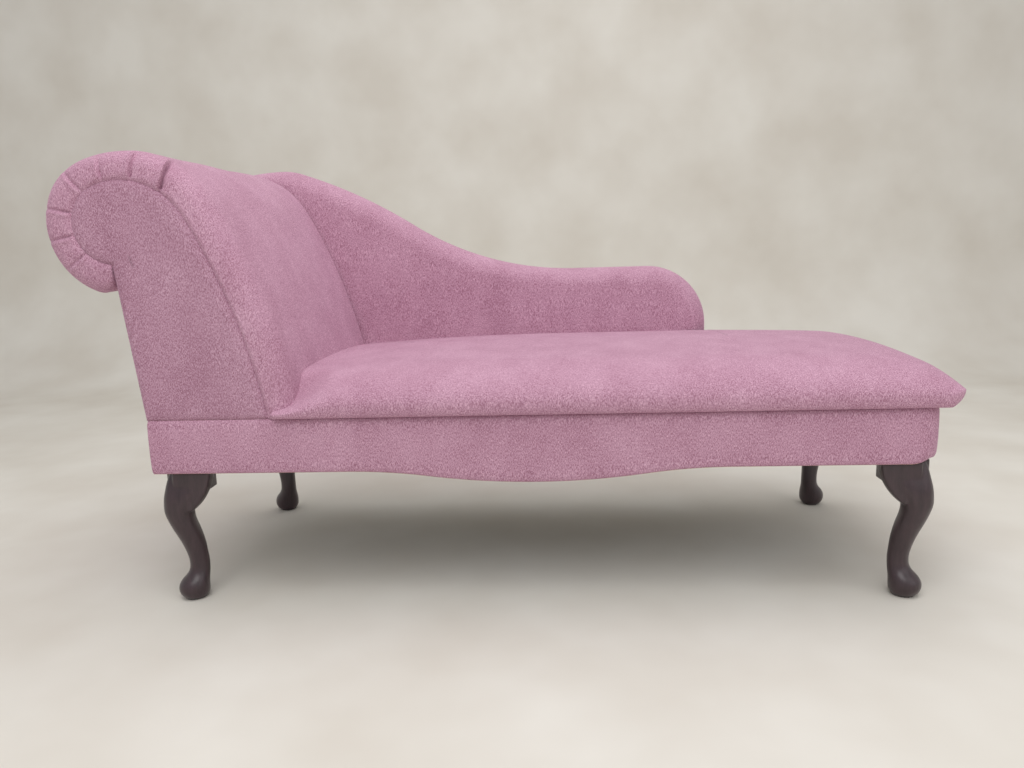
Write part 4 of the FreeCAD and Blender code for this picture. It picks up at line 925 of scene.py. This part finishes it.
def makeLegs():
    base = makeLegMesh()
    corners = (("front_head_leg", headEnd, frontFace, 0), ("front_foot_leg", footEnd, frontFace, 90),
               ("rear_foot_leg", footEnd, rearFace, 180), ("rear_head_leg", headEnd, rearFace, 270))
    for name, x, y, turn in corners:
        mesh = base.copy()
        mesh.transform(Matrix.Translation((x, y, 0)) @ Matrix.Rotation(math.radians(turn), 4, "Z"))
        lowest = min(v.co.z for v in mesh.vertices)
        for vertex in mesh.vertices:
            # a flat sole, and a top that follows the underside of the rails
            if vertex.co.z < lowest + 0.0015:
                vertex.co.z = 0.0
            vertex.co.z = min(vertex.co.z, railBottom - 0.0002)
            top = ease(vertex.co.z, railBottom - 0.03, railBottom)
            vertex.co.z += cornerLift(vertex.co.x, vertex.co.y) * top * 0.97
        piece = bpy.data.objects.new(name + "_carved", mesh)
        bpy.context.scene.collection.objects.link(piece)
        smooth(piece)
        finishPiece(piece, legWood, "dark_wood", name)


# Everything on the couch

makeHeadPad()
fanClosed(makeHeadFacing())
print("head end made")
makeLowBack()
fanClosed(makeRearPanel())
print("low back made")
makeSeat()
makeBaseFabric()
makeOutsideHead()
print("seat and base made")
makeLegs()
print("legs made")

slots = {entry["node"]: entry["material_slot"] for entry in frame["record"]["subparts"]}
for name, node in frame["nodes"].items():
    look = nodeLooks[slots[name]]
    for index in range(max(1, len(node.data.materials))):
        if index < len(node.data.materials):
            node.data.materials[index] = look
        else:
            node.data.materials.append(look)


# Camera, floor and light

camera = {
    "place": (0.09835, -1.6253, 0.6336), "yaw": 3.44, "pitch": 9.60, "roll": -1.70, "lens": 27.19,
}


def placeCamera():
    data = bpy.data.cameras.new("camera")
    data.lens = camera["lens"]
    data.sensor_width = 36
    data.clip_start = 0.01
    eye = bpy.data.objects.new("camera", data)
    yaw, pitch, roll = (math.radians(camera[key]) for key in ("yaw", "pitch", "roll"))
    ahead = Vector((-math.sin(yaw) * math.cos(pitch), math.cos(yaw) * math.cos(pitch), -math.sin(pitch)))
    side = Vector((math.cos(yaw), math.sin(yaw), 0))
    up = side.cross(ahead)
    right = side * math.cos(roll) + up * math.sin(roll)
    top = -side * math.sin(roll) + up * math.cos(roll)
    turn = Matrix((right, top, -ahead)).transposed().to_4x4()
    eye.matrix_world = Matrix.Translation(camera["place"]) @ turn
    bpy.context.scene.collection.objects.link(eye)
    bpy.context.scene.camera = eye


studio = {
    "floor": (214, 208, 198), "wall": (226, 222, 214), "world": 0.55,
    # floor's turn up into the wall, wall's distance, half width and height
    "bend": 0.6, "back": 2.6, "wide": 6.0, "high": 4.0,
    # power, width and place of each lamp
    "key": (37.0, 2.4, (-0.2, -2.0, 2.7)), "fill": (12.0, 2.6, (2.4, -2.0, 1.8)),
    "top": (32.0, 3.0, (0.2, 0.1, 2.9)),
}


def makeStage():
    material, tree, surface = newMaterial("studioFloor")
    place = tree.nodes.new("ShaderNodeTexCoord").outputs["Object"]
    mottle = noiseValue(tree, place, 3.0, 3.0, 0.5)
    share = spread(tree, mottle, 0.3, 0.7)
    colour = mixColour(tree, share, linear(*studio["floor"]), linear(*studio["wall"]))
    tree.links.new(colour, surface.inputs["Base Color"])
    surface.inputs["Roughness"].default_value = 0.8
    bend, back, wide, high = (studio[key] for key in ("bend", "back", "wide", "high"))
    profile = [(-4.0, 0.0), (back - bend, 0.0)]
    for step in range(1, 13):
        turn = math.pi / 2 * step / 12
        profile.append((back - bend + bend * math.sin(turn), bend - bend * math.cos(turn)))
    profile.append((back, high))
    rows = [[(x, y, z) for y, z in profile] for x in (-wide, wide)]
    floor = gridPiece("studio_floor", rows, wrapColumns=False)
    floor.data.materials.append(material)
    if floor.data.polygons[0].normal.z < 0:
        floor.data.flip_normals()


def areaLight(name, power, width, place, target=(0.0, 0.0, 0.4)):
    data = bpy.data.lights.new(name, "AREA")
    data.energy = power
    data.size = width
    lamp = bpy.data.objects.new(name, data)
    lamp.location = place
    lamp.rotation_euler = (Vector(target) - Vector(place)).to_track_quat("-Z", "Y").to_euler()
    bpy.context.scene.collection.objects.link(lamp)


def makeLight():
    for name in ("key", "fill", "top"):
        power, width, place = studio[name]
        areaLight(name + "Light", power, width, place)
    world = bpy.data.worlds.new("studio")
    world.use_nodes = True
    background = world.node_tree.nodes["Background"]
    background.inputs["Color"].default_value = (1, 1, 1, 1)
    background.inputs["Strength"].default_value = studio["world"]
    bpy.context.scene.world = world


placeCamera()
makeStage()
makeLight()
bpy.context.scene.view_settings.view_transform = "Standard"
print("camera, floor and light made")
